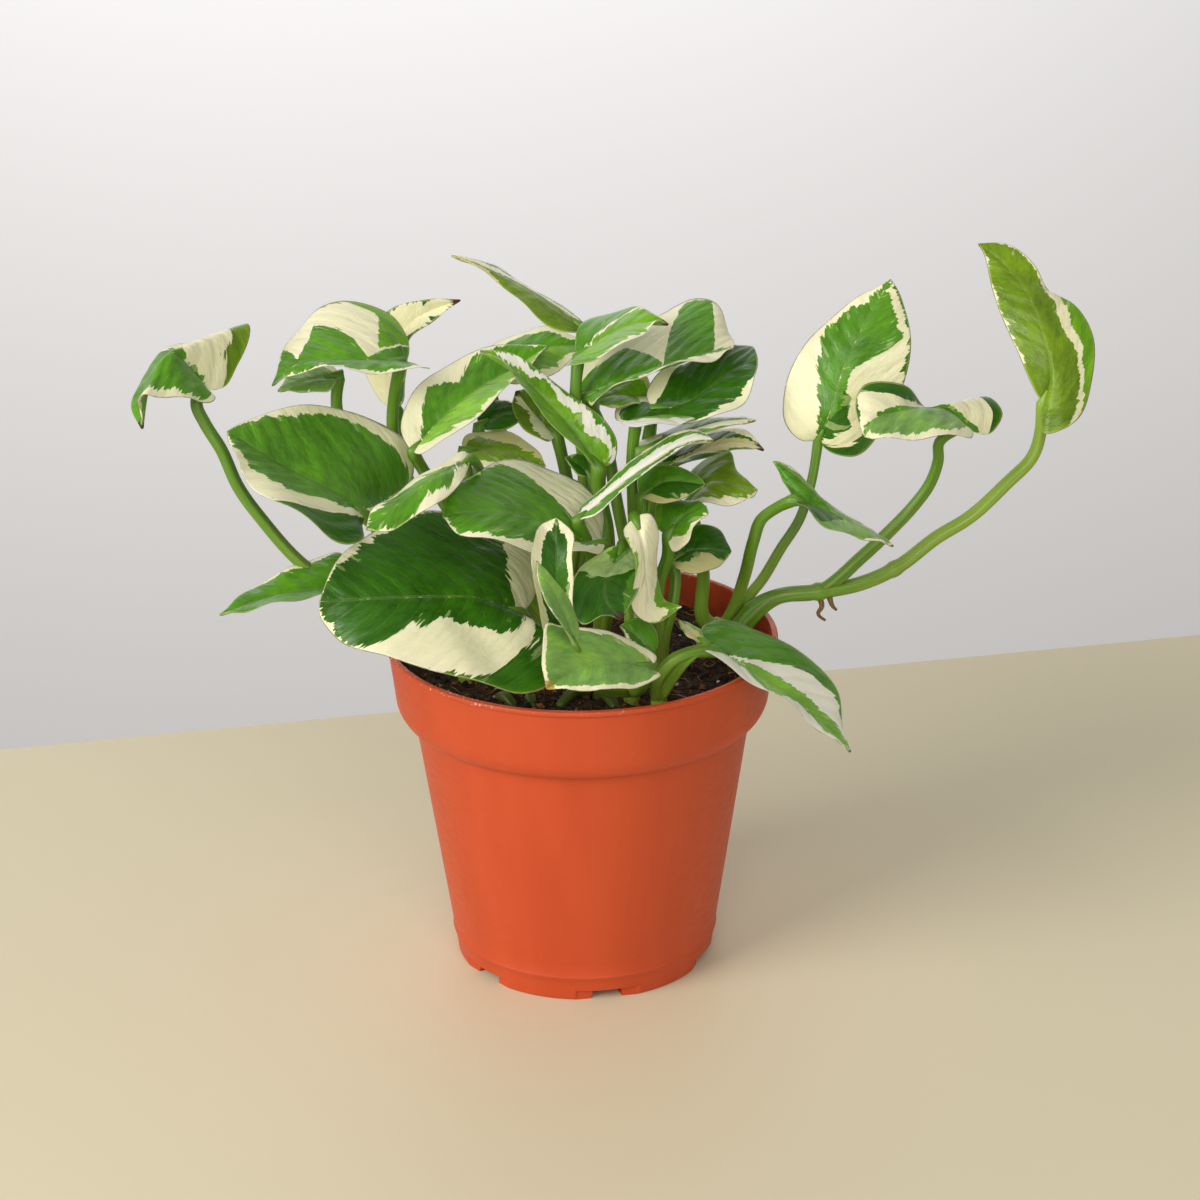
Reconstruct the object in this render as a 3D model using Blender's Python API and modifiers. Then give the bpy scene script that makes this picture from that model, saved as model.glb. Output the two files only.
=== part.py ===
"""A variegated pothos growing in a moulded plastic nursery pot.

Eleven leafy stems stand in plain holes in the potting soil. Each stem has grown as one thing with its
leaf stalks and blades, so each is one solid. Lengths below are millimetres, z is up, the pot stands on
z = 0 about the z axis, and the side with the broad left leaf and the leaf over the rim faces -y.
"""

import math

import bmesh
import bpy
import numpy as np

MM = 0.001

# Pot, a nursery size: 105 across the lip
POT_STEPS = 60
RIM_RADIUS = 52.6
POT_HEIGHT = 92.8
LIP_INNER_RADIUS = 51.2
LIP_DEPTH = 1.4
LIP_ROUND = 0.3
COLLAR_TOP_RADIUS = 52.3
COLLAR_LOW_RADIUS = 50.6
COLLAR_LOW_Z = 77.5
BODY_TOP_RADIUS = 45.7
BODY_TOP_Z = 71.2
SHOULDER_STEPS = 4
FOOT_RADIUS = 35.3
FOOT_ROUND = 0.5
WALL = 1.2
WALL_RISE = 0.9
FLOOR = 1.8
FLOOR_ROUND = 3.0
RING_Z = 7.2
RING_RADIUS = 36.7
RING_HALF_HEIGHT = 0.6

# Drain recesses in the foot of the pot
DRAINS = 6
DRAIN_FIRST_DEG = 9.5
DRAIN_WIDTH = 17.0
DRAIN_HEIGHT = 3.0
DRAIN_DEPTH_RADIUS = 34.1
DRAIN_GAP_WIDTH = 8.0
DRAIN_GAP_RADIUS = 29.5
DRAIN_OUTER_RADIUS = 44.0

# Potting soil
SOIL_Z = 84.0
SOIL_STEPS = 40
SOIL_SWELL = ((16.0, 0.4), (32.0, -0.3), (44.0, 0.3))
SOIL_ROUGH_RADIUS = 46.0
FIT_GAP = 0.3

# Leafy stems
STEM_FOOT_Z = 66.0
STEM_TOP_Z = 91.0
STEM_RADIUS = 2.2
HOLE_RADIUS = 2.5
HOLE_SIDES = 12
STALK_RADIUS = 1.6
STALK_SINK = 4.0
BLADE_THICK = 0.8
BIG_BLADE = 40.0

# Plain materials, as linear colour and roughness
POT_PLASTIC = ((0.62, 0.13, 0.045), 0.45)
SOIL = ((0.03, 0.018, 0.012), 0.95)
LEAF = ((0.16, 0.30, 0.06), 0.4)


def clear_scene():
    """Starts from an empty scene."""
    for obj in list(bpy.data.objects):
        bpy.data.objects.remove(obj)


def group(name):
    """A new collection in the scene."""
    made = bpy.data.collections.new(name)
    bpy.context.scene.collection.children.link(made)
    return made


def material(name, colour, roughness):
    """A plain Principled material."""
    made = bpy.data.materials.new(name)
    made.use_nodes = True
    shader = made.node_tree.nodes["Principled BSDF"]
    shader.inputs["Base Color"].default_value = (*colour, 1.0)
    shader.inputs["Roughness"].default_value = roughness
    return made


def add_object(name, mesh, where):
    """Links a mesh to a collection as an object."""
    made = bpy.data.objects.new(name, mesh)
    where.objects.link(made)
    return made


def applied(obj):
    """The mesh of an object with its modifiers applied, the object itself kept."""
    depsgraph = bpy.context.evaluated_depsgraph_get()
    mesh = bpy.data.meshes.new_from_object(obj.evaluated_get(depsgraph))
    obj.modifiers.clear()
    obj.data = mesh
    return obj


def turned(name, profile, steps, where):
    """Turns a profile, given as radius and height pairs, about the z axis."""
    mesh = bpy.data.meshes.new(name)
    verts = [(r * MM, 0.0, z * MM) for r, z in profile]
    mesh.from_pydata(verts, [(i, i + 1) for i in range(len(verts) - 1)], [])
    obj = add_object(name, mesh, where)
    screw = obj.modifiers.new("turn", "SCREW")
    screw.steps = steps
    screw.render_steps = steps
    screw.use_merge_vertices = True
    screw.merge_threshold = 0.00002
    screw.use_normal_calculate = True
    return applied(obj)


def cut(obj, cutters):
    """Takes every object of a collection away from an object, then removes them."""
    less = obj.modifiers.new("cut", "BOOLEAN")
    less.operation = "DIFFERENCE"
    less.operand_type = "COLLECTION"
    less.collection = cutters
    less.solver = "EXACT"
    applied(obj)
    for cutter in list(cutters.objects):
        bpy.data.objects.remove(cutter)


def shade(obj, slot, angle=math.radians(35)):
    """Smooth shading with sharp edges kept, and the material."""
    mesh = obj.data
    mesh.materials.clear()
    mesh.materials.append(slot)
    mesh.shade_smooth()
    mesh.set_sharp_from_angle(angle=angle)


def hide_cutter(obj):
    """Cutters are drawn as wires and never rendered."""
    obj.hide_render = True
    obj.display_type = "WIRE"


def body_radius(z):
    """Outer radius of the tapered body at a height."""
    return FOOT_RADIUS + (BODY_TOP_RADIUS - FOOT_RADIUS) * z / BODY_TOP_Z


def shoulder(inset, rise):
    """Quarter of an ellipse from the top of the body out and up to the foot of the collar."""
    width = COLLAR_LOW_RADIUS - BODY_TOP_RADIUS
    height = COLLAR_LOW_Z - BODY_TOP_Z
    turns = [math.radians(90 * i / SHOULDER_STEPS) for i in range(SHOULDER_STEPS + 1)]
    return [
        (BODY_TOP_RADIUS - inset + width * math.sin(a), COLLAR_LOW_Z + rise - height * math.cos(a))
        for a in turns
    ]


def cavity(gap):
    """The inner wall from the floor to the foot of the collar, or a line that keeps a gap to it."""
    floor_radius = body_radius(FLOOR) - WALL - gap
    return [
        (0.0, FLOOR + gap),
        (floor_radius - FLOOR_ROUND, FLOOR + gap),
        (floor_radius, FLOOR + FLOOR_ROUND),
        *shoulder(WALL + gap, WALL_RISE + gap),
    ]


def pot_profile():
    """Inner floor and wall up to the lip, then down the collar, the body and under the foot."""
    lip_low = POT_HEIGHT - LIP_DEPTH
    return [
        *cavity(0.0),
        (COLLAR_TOP_RADIUS - WALL, lip_low),
        (LIP_INNER_RADIUS, POT_HEIGHT - LIP_ROUND),
        (LIP_INNER_RADIUS + LIP_ROUND, POT_HEIGHT),
        (RIM_RADIUS - LIP_ROUND, POT_HEIGHT),
        (RIM_RADIUS, POT_HEIGHT - LIP_ROUND),
        (RIM_RADIUS, lip_low + LIP_ROUND),
        (COLLAR_TOP_RADIUS, lip_low),
        *reversed(shoulder(0.0, 0.0)),
        (body_radius(RING_Z + RING_HALF_HEIGHT), RING_Z + RING_HALF_HEIGHT),
        (RING_RADIUS, RING_Z + RING_HALF_HEIGHT / 3),
        (RING_RADIUS, RING_Z - RING_HALF_HEIGHT / 3),
        (body_radius(RING_Z - RING_HALF_HEIGHT), RING_Z - RING_HALF_HEIGHT),
        (body_radius(FOOT_ROUND), FOOT_ROUND),
        (FOOT_RADIUS - FOOT_ROUND, 0.0),
        (0.0, 0.0),
    ]


def block(name, x0, x1, y0, y1, z0, z1, turn, where):
    """A box between two corners, turned about the z axis."""
    mesh = bpy.data.meshes.new(name)
    bm = bmesh.new()
    bmesh.ops.create_cube(bm, size=1.0)
    c, s = math.cos(turn), math.sin(turn)
    for v in bm.verts:
        x = x0 + (v.co.x + 0.5) * (x1 - x0)
        y = y0 + (v.co.y + 0.5) * (y1 - y0)
        z = z0 + (v.co.z + 0.5) * (z1 - z0)
        v.co = ((x * c - y * s) * MM, (x * s + y * c) * MM, z * MM)
    bm.to_mesh(mesh)
    bm.free()
    obj = add_object(name, mesh, where)
    hide_cutter(obj)
    return obj


def make_pot(parts, slot):
    """The pot, with a shallow recess and a drain gap at six places round its foot."""
    pot = turned("pot", pot_profile(), POT_STEPS, parts)
    cutters = group("drain_cutters")
    half = DRAIN_WIDTH / 2
    gap = DRAIN_GAP_WIDTH / 2
    for i in range(DRAINS):
        turn = math.radians(DRAIN_FIRST_DEG - 90 + i * 360 / DRAINS)
        block("recess", DRAIN_DEPTH_RADIUS, DRAIN_OUTER_RADIUS, -half, half, -2, DRAIN_HEIGHT, turn, cutters)
        block("gap", DRAIN_GAP_RADIUS, DRAIN_OUTER_RADIUS, -gap, gap, -3, DRAIN_HEIGHT - 0.5, turn, cutters)
    cut(pot, cutters)
    shade(pot, slot)


def soil_profile():
    """The soil fills the pot just clear of its wall, from the floor to a little below the lip."""
    wall = cavity(FIT_GAP)
    low_radius, low_z = wall[-1]
    slope = (COLLAR_TOP_RADIUS - COLLAR_LOW_RADIUS) / (POT_HEIGHT - LIP_DEPTH - COLLAR_LOW_Z)
    top_radius = low_radius + slope * (SOIL_Z - low_z)
    return [
        (0.0, SOIL_Z),
        *((radius, SOIL_Z + lift) for radius, lift in SOIL_SWELL),
        (top_radius, SOIL_Z),
        *reversed(wall),
    ]


def rough_top(mesh):
    """Small rises and dips of the soil surface, as sums of sines of the place."""
    for v in mesh.vertices:
        x, y, z = (c / MM for c in v.co)
        if z < SOIL_Z - 1 or math.hypot(x, y) > SOIL_ROUGH_RADIUS:
            continue
        lift = 0.35 * math.sin(0.31 * x + 0.9) * math.cos(0.27 * y - 0.4)
        lift += 0.2 * math.sin(0.8 * x - 0.5 * y)
        v.co.z += lift * MM


def make_soil(parts, slot, feet):
    """The potting soil, with a plain hole for each stem."""
    soil = turned("soil", soil_profile(), SOIL_STEPS, parts)
    rough_top(soil.data)
    cutters = group("hole_cutters")
    low, high = STEM_FOOT_Z - FIT_GAP, POT_HEIGHT
    radius = HOLE_RADIUS * MM
    for x, y in feet:
        mesh = bpy.data.meshes.new("hole")
        bm = bmesh.new()
        bmesh.ops.create_cone(
            bm, cap_ends=True, segments=HOLE_SIDES, radius1=radius, radius2=radius, depth=(high - low) * MM
        )
        bmesh.ops.translate(bm, verts=bm.verts, vec=(x * MM, y * MM, (high + low) / 2 * MM))
        bm.to_mesh(mesh)
        bm.free()
        hide_cutter(add_object("hole", mesh, cutters))
    cut(soil, cutters)
    shade(soil, slot)


def smooth(points, w):
    """A curve through the points, one cubic between each two, at shares w of the way along it."""
    p = np.array(points, float)
    d = np.maximum(np.linalg.norm(np.diff(p, axis=0), axis=1), 1e-6) ** 0.8
    t = np.concatenate([[0], np.cumsum(d)]) / d.sum()
    h = np.diff(t)
    s = np.diff(p, axis=0) / h[:, None]
    m = np.empty_like(p)
    m[1:-1] = (h[1:, None] * s[:-1] + h[:-1, None] * s[1:]) / (h[1:] + h[:-1])[:, None]
    if len(p) > 2:
        m[0] = 1.5 * s[0] - 0.5 * m[1]
        m[-1] = 1.5 * s[-1] - 0.5 * m[-2]
    else:
        m[:] = s[0]
    i = np.clip(np.searchsorted(t, w, side="right") - 1, 0, len(h) - 1)
    q = ((w - t[i]) / h[i])[:, None]
    hi = h[i][:, None]
    start = (2 * q**3 - 3 * q**2 + 1) * p[i] + (q**3 - 2 * q**2 + q) * hi * m[i]
    return start + (3 * q**2 - 2 * q**3) * p[i + 1] + (q**3 - q**2) * hi * m[i + 1]


def unit(a):
    """A vector at length one."""
    return a / np.linalg.norm(a)


def half_blade(rib, edge, along, side, turn, cols):
    """One side of a blade: at each station an arc from the midrib to the margin, turning by an angle."""
    chord = edge - rib
    width = np.maximum(np.linalg.norm(chord, axis=1), 1e-6)
    across = chord / width[:, None]
    rows = len(rib)
    mean = chord[rows // 5 : 4 * rows // 5].mean(axis=0)
    n = unit(np.cross(along, mean)) * side
    n = n - across * (across @ n)[:, None]
    n = n / np.maximum(np.linalg.norm(n, axis=1), 1e-6)[:, None]
    th = math.radians(turn) + 1e-6
    t = np.linspace(0, 1, cols + 1)[:, None, None]
    run = np.sin(th * t) * math.cos(th / 2) + (1 - np.cos(th * t)) * math.sin(th / 2)
    rise = (1 - np.cos(th * t)) * math.cos(th / 2) - np.sin(th * t) * math.sin(th / 2)
    place = (run * across + rise * n) * width[:, None] / (2 * math.sin(th / 2))
    return rib + place


def blade_grid(stalk, mid, tip, left, right, cup, rows, cols):
    """Points of a blade, row by row from base to tip, each row from the right margin to the left."""
    w = np.linspace(0, 1, rows)
    w = 0.6 * w + 0.4 * (0.5 - 0.5 * np.cos(math.pi * w))
    base, end = np.array(stalk[-1], float), np.array(tip, float)
    rib = smooth([base, *mid, end], w)
    along = unit(end - base)
    lefts = half_blade(rib, smooth([base, *left, end], w), along, 1, cup[0], cols)
    rights = half_blade(rib, smooth([base, *right, end], w), along, -1, cup[1], cols)
    return np.concatenate([rights[::-1], lefts[1:]]).transpose(1, 0, 2)


def blade_mesh(grid):
    """A grid bent to the blade's points, its first and last rows drawn together, in triangles."""
    rows, cols, _ = grid.shape
    mesh = bpy.data.meshes.new("blade")
    bm = bmesh.new()
    bmesh.ops.create_grid(bm, x_segments=rows - 1, y_segments=cols - 1, size=1.0)
    for v in bm.verts:
        i = round((v.co.x + 1) / 2 * (rows - 1))
        j = round((v.co.y + 1) / 2 * (cols - 1))
        v.co = grid[i, j] * MM
    bmesh.ops.remove_doubles(bm, verts=bm.verts, dist=1e-6)
    bmesh.ops.triangulate(bm, faces=bm.faces)
    bmesh.ops.recalc_face_normals(bm, faces=bm.faces)
    bm.to_mesh(mesh)
    bm.free()
    return mesh


def tube(name, points, radii, where, sides):
    """A round rod along a line of points."""
    curve = bpy.data.curves.new(name, "CURVE")
    curve.dimensions = "3D"
    curve.bevel_depth = MM
    curve.bevel_resolution = sides
    curve.use_fill_caps = True
    line = curve.splines.new("POLY")
    line.points.add(len(points) - 1)
    for point, place, radius in zip(line.points, points, radii):
        point.co = (*(float(c) * MM for c in place), 1.0)
        point.radius = float(radius)
    rod = bpy.data.objects.new(name, curve)
    where.objects.link(rod)
    depsgraph = bpy.context.evaluated_depsgraph_get()
    mesh = bpy.data.meshes.new_from_object(rod.evaluated_get(depsgraph))
    bpy.data.objects.remove(rod)
    bm = bmesh.new()
    bm.from_mesh(mesh)
    bmesh.ops.remove_doubles(bm, verts=bm.verts, dist=1e-6)
    bmesh.ops.triangulate(bm, faces=bm.faces)
    bmesh.ops.recalc_face_normals(bm, faces=bm.faces)
    bm.to_mesh(mesh)
    bm.free()
    return add_object(name, mesh, where)


def leaf(stalk, mid, tip, left, right, thick=(STALK_RADIUS, STALK_RADIUS), cup=(0, 0)):
    """One leaf, by its stalk, and by points on its midrib and on its two margins."""
    return {"stalk": stalk, "mid": mid, "tip": tip, "left": left, "right": right, "thick": thick, "cup": cup}


def add_leaf(spec, where):
    """The stalk and the blade of a leaf, the stalk running a little way on under the blade."""
    thick = spec.pop("thick")
    length = np.linalg.norm(np.array(spec["tip"]) - np.array(spec["stalk"][-1]))
    rows = 9 if length > BIG_BLADE else 7
    grid = blade_grid(**spec, rows=rows, cols=2)
    blade = add_object("blade", blade_mesh(grid), where)
    shell = blade.modifiers.new("thickness", "SOLIDIFY")
    shell.thickness = BLADE_THICK * MM
    shell.offset = 0.0
    applied(blade)
    run = spec["stalk"]
    count = max(3, min(9, len(run) + 1))
    line = smooth(run, np.linspace(0, 1, count))
    rib = smooth([run[-1], *spec["mid"], spec["tip"]], np.linspace(0, 1, 40))
    far = np.linalg.norm(rib - rib[0], axis=1)
    end = rib[np.argmax(far > min(STALK_SINK, 0.3 * length))]
    line = np.concatenate([line, end[None]])
    radii = np.append(np.linspace(thick[0], thick[1], count), 0.75 * thick[1])
    tube("stalk", line, radii, where, 1)


def leafy_stem(name, foot, leaves, parts, slot):
    """One stem standing in the soil, joined with its stalks and blades."""
    x, y = foot
    post = [(x, y, STEM_FOOT_Z), (x, y, SOIL_Z), (x, y, STEM_TOP_Z)]
    stem = tube(name, post, [STEM_RADIUS] * 3, parts, 2)
    grown = group(name + "_leaves")
    for spec in leaves:
        add_leaf(spec, grown)
    join = stem.modifiers.new("join", "BOOLEAN")
    join.operation = "UNION"
    join.operand_type = "COLLECTION"
    join.collection = grown
    join.solver = "EXACT"
    applied(stem)
    for piece in list(grown.objects):
        bpy.data.objects.remove(piece)
    shade(stem, slot, math.radians(50))


def far_left():
    """Stem whose one leaf arches far out to the left, with a narrow low leaf under it."""
    return [
        leaf(
            stalk=[(-31, -10, 88), (-38, -12, 96), (-52, -14, 105), (-73, -14, 119), (-83, -13, 131),
                (-89, -12, 140), (-93, -11, 150), (-97, -10, 157), (-99, -9, 162), (-98, -7, 165)],
            mid=[(-100, -8, 171), (-104, -12, 177), (-109, -18, 173)],
            tip=(-112, -20, 159),
            left=[(-94, -12, 164), (-98, -18, 166), (-104, -24, 169), (-109, -28, 171)],
            right=[(-92, -4, 165), (-89, 3, 169), (-87, 12, 177), (-98, 12, 173), (-109, -2, 173),
                (-115, -14, 165)],
        ),
        leaf(
            stalk=[(-31, -10, 88), (-37, -18, 97), (-47, -22, 107), (-60, -18, 114)],
            mid=[(-76, -26, 116)],
            tip=(-93, -36, 114),
            left=[(-66, -28, 116), (-77, -38, 118), (-85, -38, 116)],
            right=[(-64, -8, 120), (-74, -14, 119), (-85, -24, 117)],
        ),
    ]


def left_back():
    """Stem of the hooded leaf and the two behind it."""
    return [
        leaf(
            stalk=[(-30, 16, 88), (-43, 18, 107), (-48, 18, 131), (-50, 16, 147), (-47, 12, 166)],
            mid=[(-55, 8, 168), (-64, 6, 169), (-73, 6, 168)],
            tip=(-81, 8, 161),
            left=[(-39, 4, 167), (-49, 0, 167), (-62, -2, 169), (-72, 2, 167)],
            right=[(-46, 18, 164), (-46, 24, 169), (-49, 28, 174), (-61, 30, 177), (-70, 28, 176),
                (-76, 20, 171), (-79, 12, 166)],
        ),
        leaf(
            stalk=[(-30, 16, 88), (-39, 18, 99), (-56, 22, 124), (-63, 22, 141), (-65, 20, 151),
                (-64, 20, 160)],
            mid=[(-72, 16, 160)],
            tip=(-80, 13, 158),
            left=[(-67, 12, 158), (-74, 12, 158)],
            right=[(-68, 26, 162), (-75, 24, 161)],
        ),
        leaf(
            stalk=[(-30, 16, 88), (-35, 24, 93), (-44, 32, 114), (-49, 38, 132), (-50, 40, 143)],
            mid=[(-52, 44, 154), (-46, 46, 166)],
            tip=(-32, 48, 172),
            left=[(-55, 44, 145), (-59, 46, 153), (-58, 46, 163), (-50, 46, 171), (-40, 46, 173)],
            right=[(-48, 38, 147), (-47, 38, 155), (-46, 40, 163), (-40, 44, 167)],
        ),
    ]


def left_front():
    """Stem of the two broad left leaves and the small folded one between them."""
    return [
        leaf(
            stalk=[(-14, -10, 88), (-22, -8, 90), (-35, -6, 105), (-48, -8, 120), (-56, -18, 134)],
            mid=[(-64, -20, 142), (-75, -20, 148), (-82, -21, 153)],
            tip=(-90, -22, 159),
            left=[(-58, -36, 133), (-66, -42, 140), (-78, -42, 148), (-86, -34, 153)],
            right=[(-49, 0, 132), (-45, 8, 134), (-46, 12, 142), (-56, 10, 152), (-71, 0, 158),
                (-84, -14, 160)],
        ),
        leaf(
            stalk=[(-14, -10, 88), (-12, -16, 95), (-13, -24, 105), (-16, -30, 111)],
            mid=[(-27, -36, 118), (-37, -40, 120), (-53, -46, 122)],
            tip=(-66, -50, 123),
            left=[(-9, -40, 108), (-9, -52, 100), (-16, -56, 99), (-28, -60, 106), (-47, -60, 111),
                (-61, -54, 114), (-66, -50, 119)],
            right=[(-11, -18, 113), (-13, -8, 121), (-24, -4, 128), (-37, -10, 132), (-53, -26, 133),
                (-62, -40, 130)],
            thick=(1.7, 1.6),
        ),
        leaf(
            stalk=[(-14, -10, 88), (-15, -4, 101), (-21, 3, 119), (-24, 3, 132), (-26, -4, 140),
                (-27, -14, 147), (-28, -20, 150)],
            mid=[(-38, -36, 150), (-45, -40, 146)],
            tip=(-54, -44, 140),
            left=[(-31, -36, 148), (-37, -44, 146), (-43, -46, 143), (-48, -48, 141)],
            right=[(-29, -18, 151), (-38, -24, 149), (-47, -32, 145), (-53, -40, 143)],
            thick=(1.4, 1.3),
        ),
    ]


def centre_back():
    """Stem of the topmost leaves and the shaded ones below them."""
    return [
        leaf(
            stalk=[(-8, 12, 88), (-22, 10, 102), (-32, 8, 120), (-40, 6, 135), (-44, 0, 145)],
            mid=[(-37, 8, 151), (-28, 14, 157), (-17, 22, 161)],
            tip=(-8, 28, 165),
            left=[(-47, 4, 149), (-45, 12, 156), (-38, 22, 160), (-27, 28, 164), (-16, 30, 165)],
            right=[(-42, -4, 146), (-32, -2, 151), (-24, 4, 156), (-17, 14, 160), (-12, 20, 163)],
        ),
        leaf(
            stalk=[(-8, 12, 88), (-7, 16, 96), (-14, 24, 116), (-22, 30, 143), (-25, 34, 156)],
            mid=[(-12, 34, 162)],
            tip=(2, 34, 163),
            left=[(-24, 42, 160), (-12, 44, 165), (-7, 42, 166), (-2, 38, 165)],
            right=[(-17, 26, 155), (-8, 26, 157), (-1, 30, 161)],
        ),
        leaf(
            stalk=[(-8, 12, 88), (-3, 16, 96), (0, 20, 106), (3, 26, 127), (4, 30, 149), (2, 30, 169)],
            mid=[(-4, 31, 173), (-12, 34, 178), (-20, 37, 182), (-27, 39, 185)],
            tip=(-34, 40, 187),
            left=[(-2, 26, 169), (-8, 24, 172), (-16, 28, 178), (-24, 35, 183)],
            right=[(1, 36, 170), (-9, 44, 174), (-16, 46, 178), (-24, 46, 183)],
        ),
        leaf(
            stalk=[(-8, 12, 88), (-6, 14, 91), (-1, 14, 114), (1, 14, 134), (-1, 12, 155),
                (0, 14, 166)],
            mid=[(6, 14, 171), (15, 15, 175)],
            tip=(24, 14, 175),
            left=[(-1, 20, 169), (0, 24, 171), (5, 28, 173), (14, 26, 176), (20, 18, 177)],
            right=[(-3, 6, 166), (3, 2, 169), (10, 0, 173), (16, 4, 175), (21, 10, 177)],
        ),
        leaf(
            stalk=[(-8, 12, 88), (-14, 12, 98), (-22, 12, 107), (-29, 8, 131), (-31, 6, 143)],
            mid=[(-20, 9, 142)],
            tip=(-9, 10, 137),
            left=[(-31, 10, 145), (-27, 16, 145), (-19, 18, 144), (-12, 14, 141)],
            right=[(-26, 0, 141), (-18, 0, 138), (-13, 4, 137)],
        ),
        leaf(
            stalk=[(-8, 12, 88), (-22, 12, 107), (-27, 16, 131), (-27, 20, 145)],
            mid=[(-21, 22, 148)],
            tip=(-15, 24, 148),
            left=[(-27, 26, 149), (-21, 28, 150)],
            right=[(-23, 16, 145), (-17, 18, 146)],
        ),
        leaf(
            stalk=[(-8, 12, 88), (-6, 16, 96), (-2, 20, 118), (-4, 20, 132), (-6, 20, 142)],
            mid=[(-12, 24, 147)],
            tip=(-17, 26, 153),
            left=[(-9, 16, 142), (-15, 18, 145), (-18, 22, 149)],
            right=[(-5, 26, 145), (-8, 30, 150), (-13, 30, 152)],
        ),
    ]


def centre():
    """Stem of the flat centre leaf, the veined one above it and the narrow pale one."""
    return [
        leaf(
            stalk=[(4, -4, 88), (6, -8, 97), (7, -14, 114), (6, -20, 126)],
            mid=[(0, -24, 129), (-11, -28, 136), (-20, -32, 140)],
            tip=(-35, -38, 141),
            left=[(5, -30, 128), (-2, -37, 130), (-12, -42, 133), (-24, -44, 137), (-32, -42, 139)],
            right=[(6, -10, 126), (5, -4, 130), (0, 2, 136), (-10, 2, 140), (-21, -6, 144),
                (-29, -20, 145), (-34, -32, 144)],
        ),
        leaf(
            stalk=[(4, -4, 88), (5, -4, 95), (7, -4, 110), (7, -2, 123), (5, 0, 133), (5, -1, 140)],
            mid=[(-1, 2, 149), (-9, 6, 157), (-17, 10, 164)],
            tip=(-26, 12, 169),
            left=[(3, -4, 143), (-4, -6, 151), (-10, -4, 157), (-15, 0, 163), (-19, 6, 167)],
            right=[(9, 2, 141), (10, 4, 146), (7, 6, 151), (0, 8, 156), (-10, 12, 163), (-19, 14, 168)],
            thick=(1.7, 1.9),
        ),
        leaf(
            stalk=[(4, -4, 88), (5, -10, 104), (4, -12, 110), (2, -20, 126), (-1, -24, 134)],
            mid=[(8, -18, 140), (18, -14, 146), (27, -10, 150)],
            tip=(35, -8, 150),
            left=[(1, -16, 136), (7, -12, 140), (16, -6, 146), (25, -2, 150), (31, -2, 151)],
            right=[(5, -28, 138), (15, -24, 146), (23, -18, 149), (29, -12, 151)],
        ),
        leaf(
            stalk=[(4, -4, 88), (5, 0, 114), (5, 4, 129), (3, 4, 136)],
            mid=[(0, 5, 139)],
            tip=(-4, 6, 141),
            left=[(0, 2, 137)],
            right=[(1, 8, 141)],
            thick=(1.2, 1.1),
        ),
    ]


def front():
    """Stem of the folded and drooping leaves at the front."""
    return [
        leaf(
            stalk=[(13, -27, 88), (5, -38, 93), (0, -44, 100), (-2, -48, 109)],
            mid=[(-6, -47, 119), (-6, -46, 132)],
            tip=(-6, -40, 141),
            left=[(-8, -51, 111), (-10, -52, 118), (-12, -51, 129), (-12, -48, 137), (-10, -42, 140)],
            right=[(-1, -49, 111), (-2, -50, 123), (-2, -48, 133), (-2, -42, 138)],
            cup=(50, 50),
        ),
        leaf(
            stalk=[(13, -27, 88), (0, -46, 101), (0, -50, 106), (-1, -58, 113)],
            mid=[(-5, -60, 125)],
            tip=(-11, -54, 135),
            left=[(-6, -64, 123), (-9, -63, 128), (-11, -57, 132)],
            right=[(-1, -56, 120), (-4, -56, 127)],
            thick=(1.3, 1.2),
        ),
        leaf(
            stalk=[(13, -27, 88), (15, -38, 93), (17, -46, 102)],
            mid=[(10, -51, 106), (-1, -58, 107)],
            tip=(-9, -63, 104),
            left=[(20, -47, 101), (15, -55, 101), (4, -62, 103), (-3, -64, 104)],
            right=[(19, -42, 103), (14, -43, 108), (8, -46, 112), (2, -50, 115), (-5, -55, 118),
                (-9, -59, 120), (-10, -62, 113)],
        ),
        leaf(
            stalk=[(13, -27, 88), (13, -20, 99), (12, -18, 117), (11, -21, 126)],
            mid=[(9, -27, 124), (6, -40, 123), (7, -48, 120)],
            tip=(10, -50, 117),
            left=[(14, -20, 126), (16, -26, 124), (15, -37, 121), (12, -47, 119)],
            right=[(8, -24, 127), (2, -29, 125), (-2, -39, 124), (-3, -46, 120), (0, -50, 116),
                (5, -52, 119)],
        ),
        leaf(
            stalk=[(13, -27, 88), (15, -20, 102), (15, -18, 121), (14, -24, 135)],
            mid=[(16, -30, 130), (17, -34, 120), (18, -36, 115)],
            tip=(26, -34, 114),
            left=[(18, -24, 136), (20, -24, 131), (20, -28, 118), (22, -32, 115)],
            right=[(11, -28, 133), (14, -36, 128), (13, -40, 116), (18, -38, 111)],
        ),
        leaf(
            stalk=[(13, -27, 88), (16, -32, 95), (18, -35, 101)],
            mid=[(15, -34, 105)],
            tip=(10, -34, 109),
            left=[(14, -37, 103)],
            right=[(20, -32, 103), (18, -30, 108), (13, -32, 110)],
            thick=(1.3, 1.2),
        ),
    ]


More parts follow.
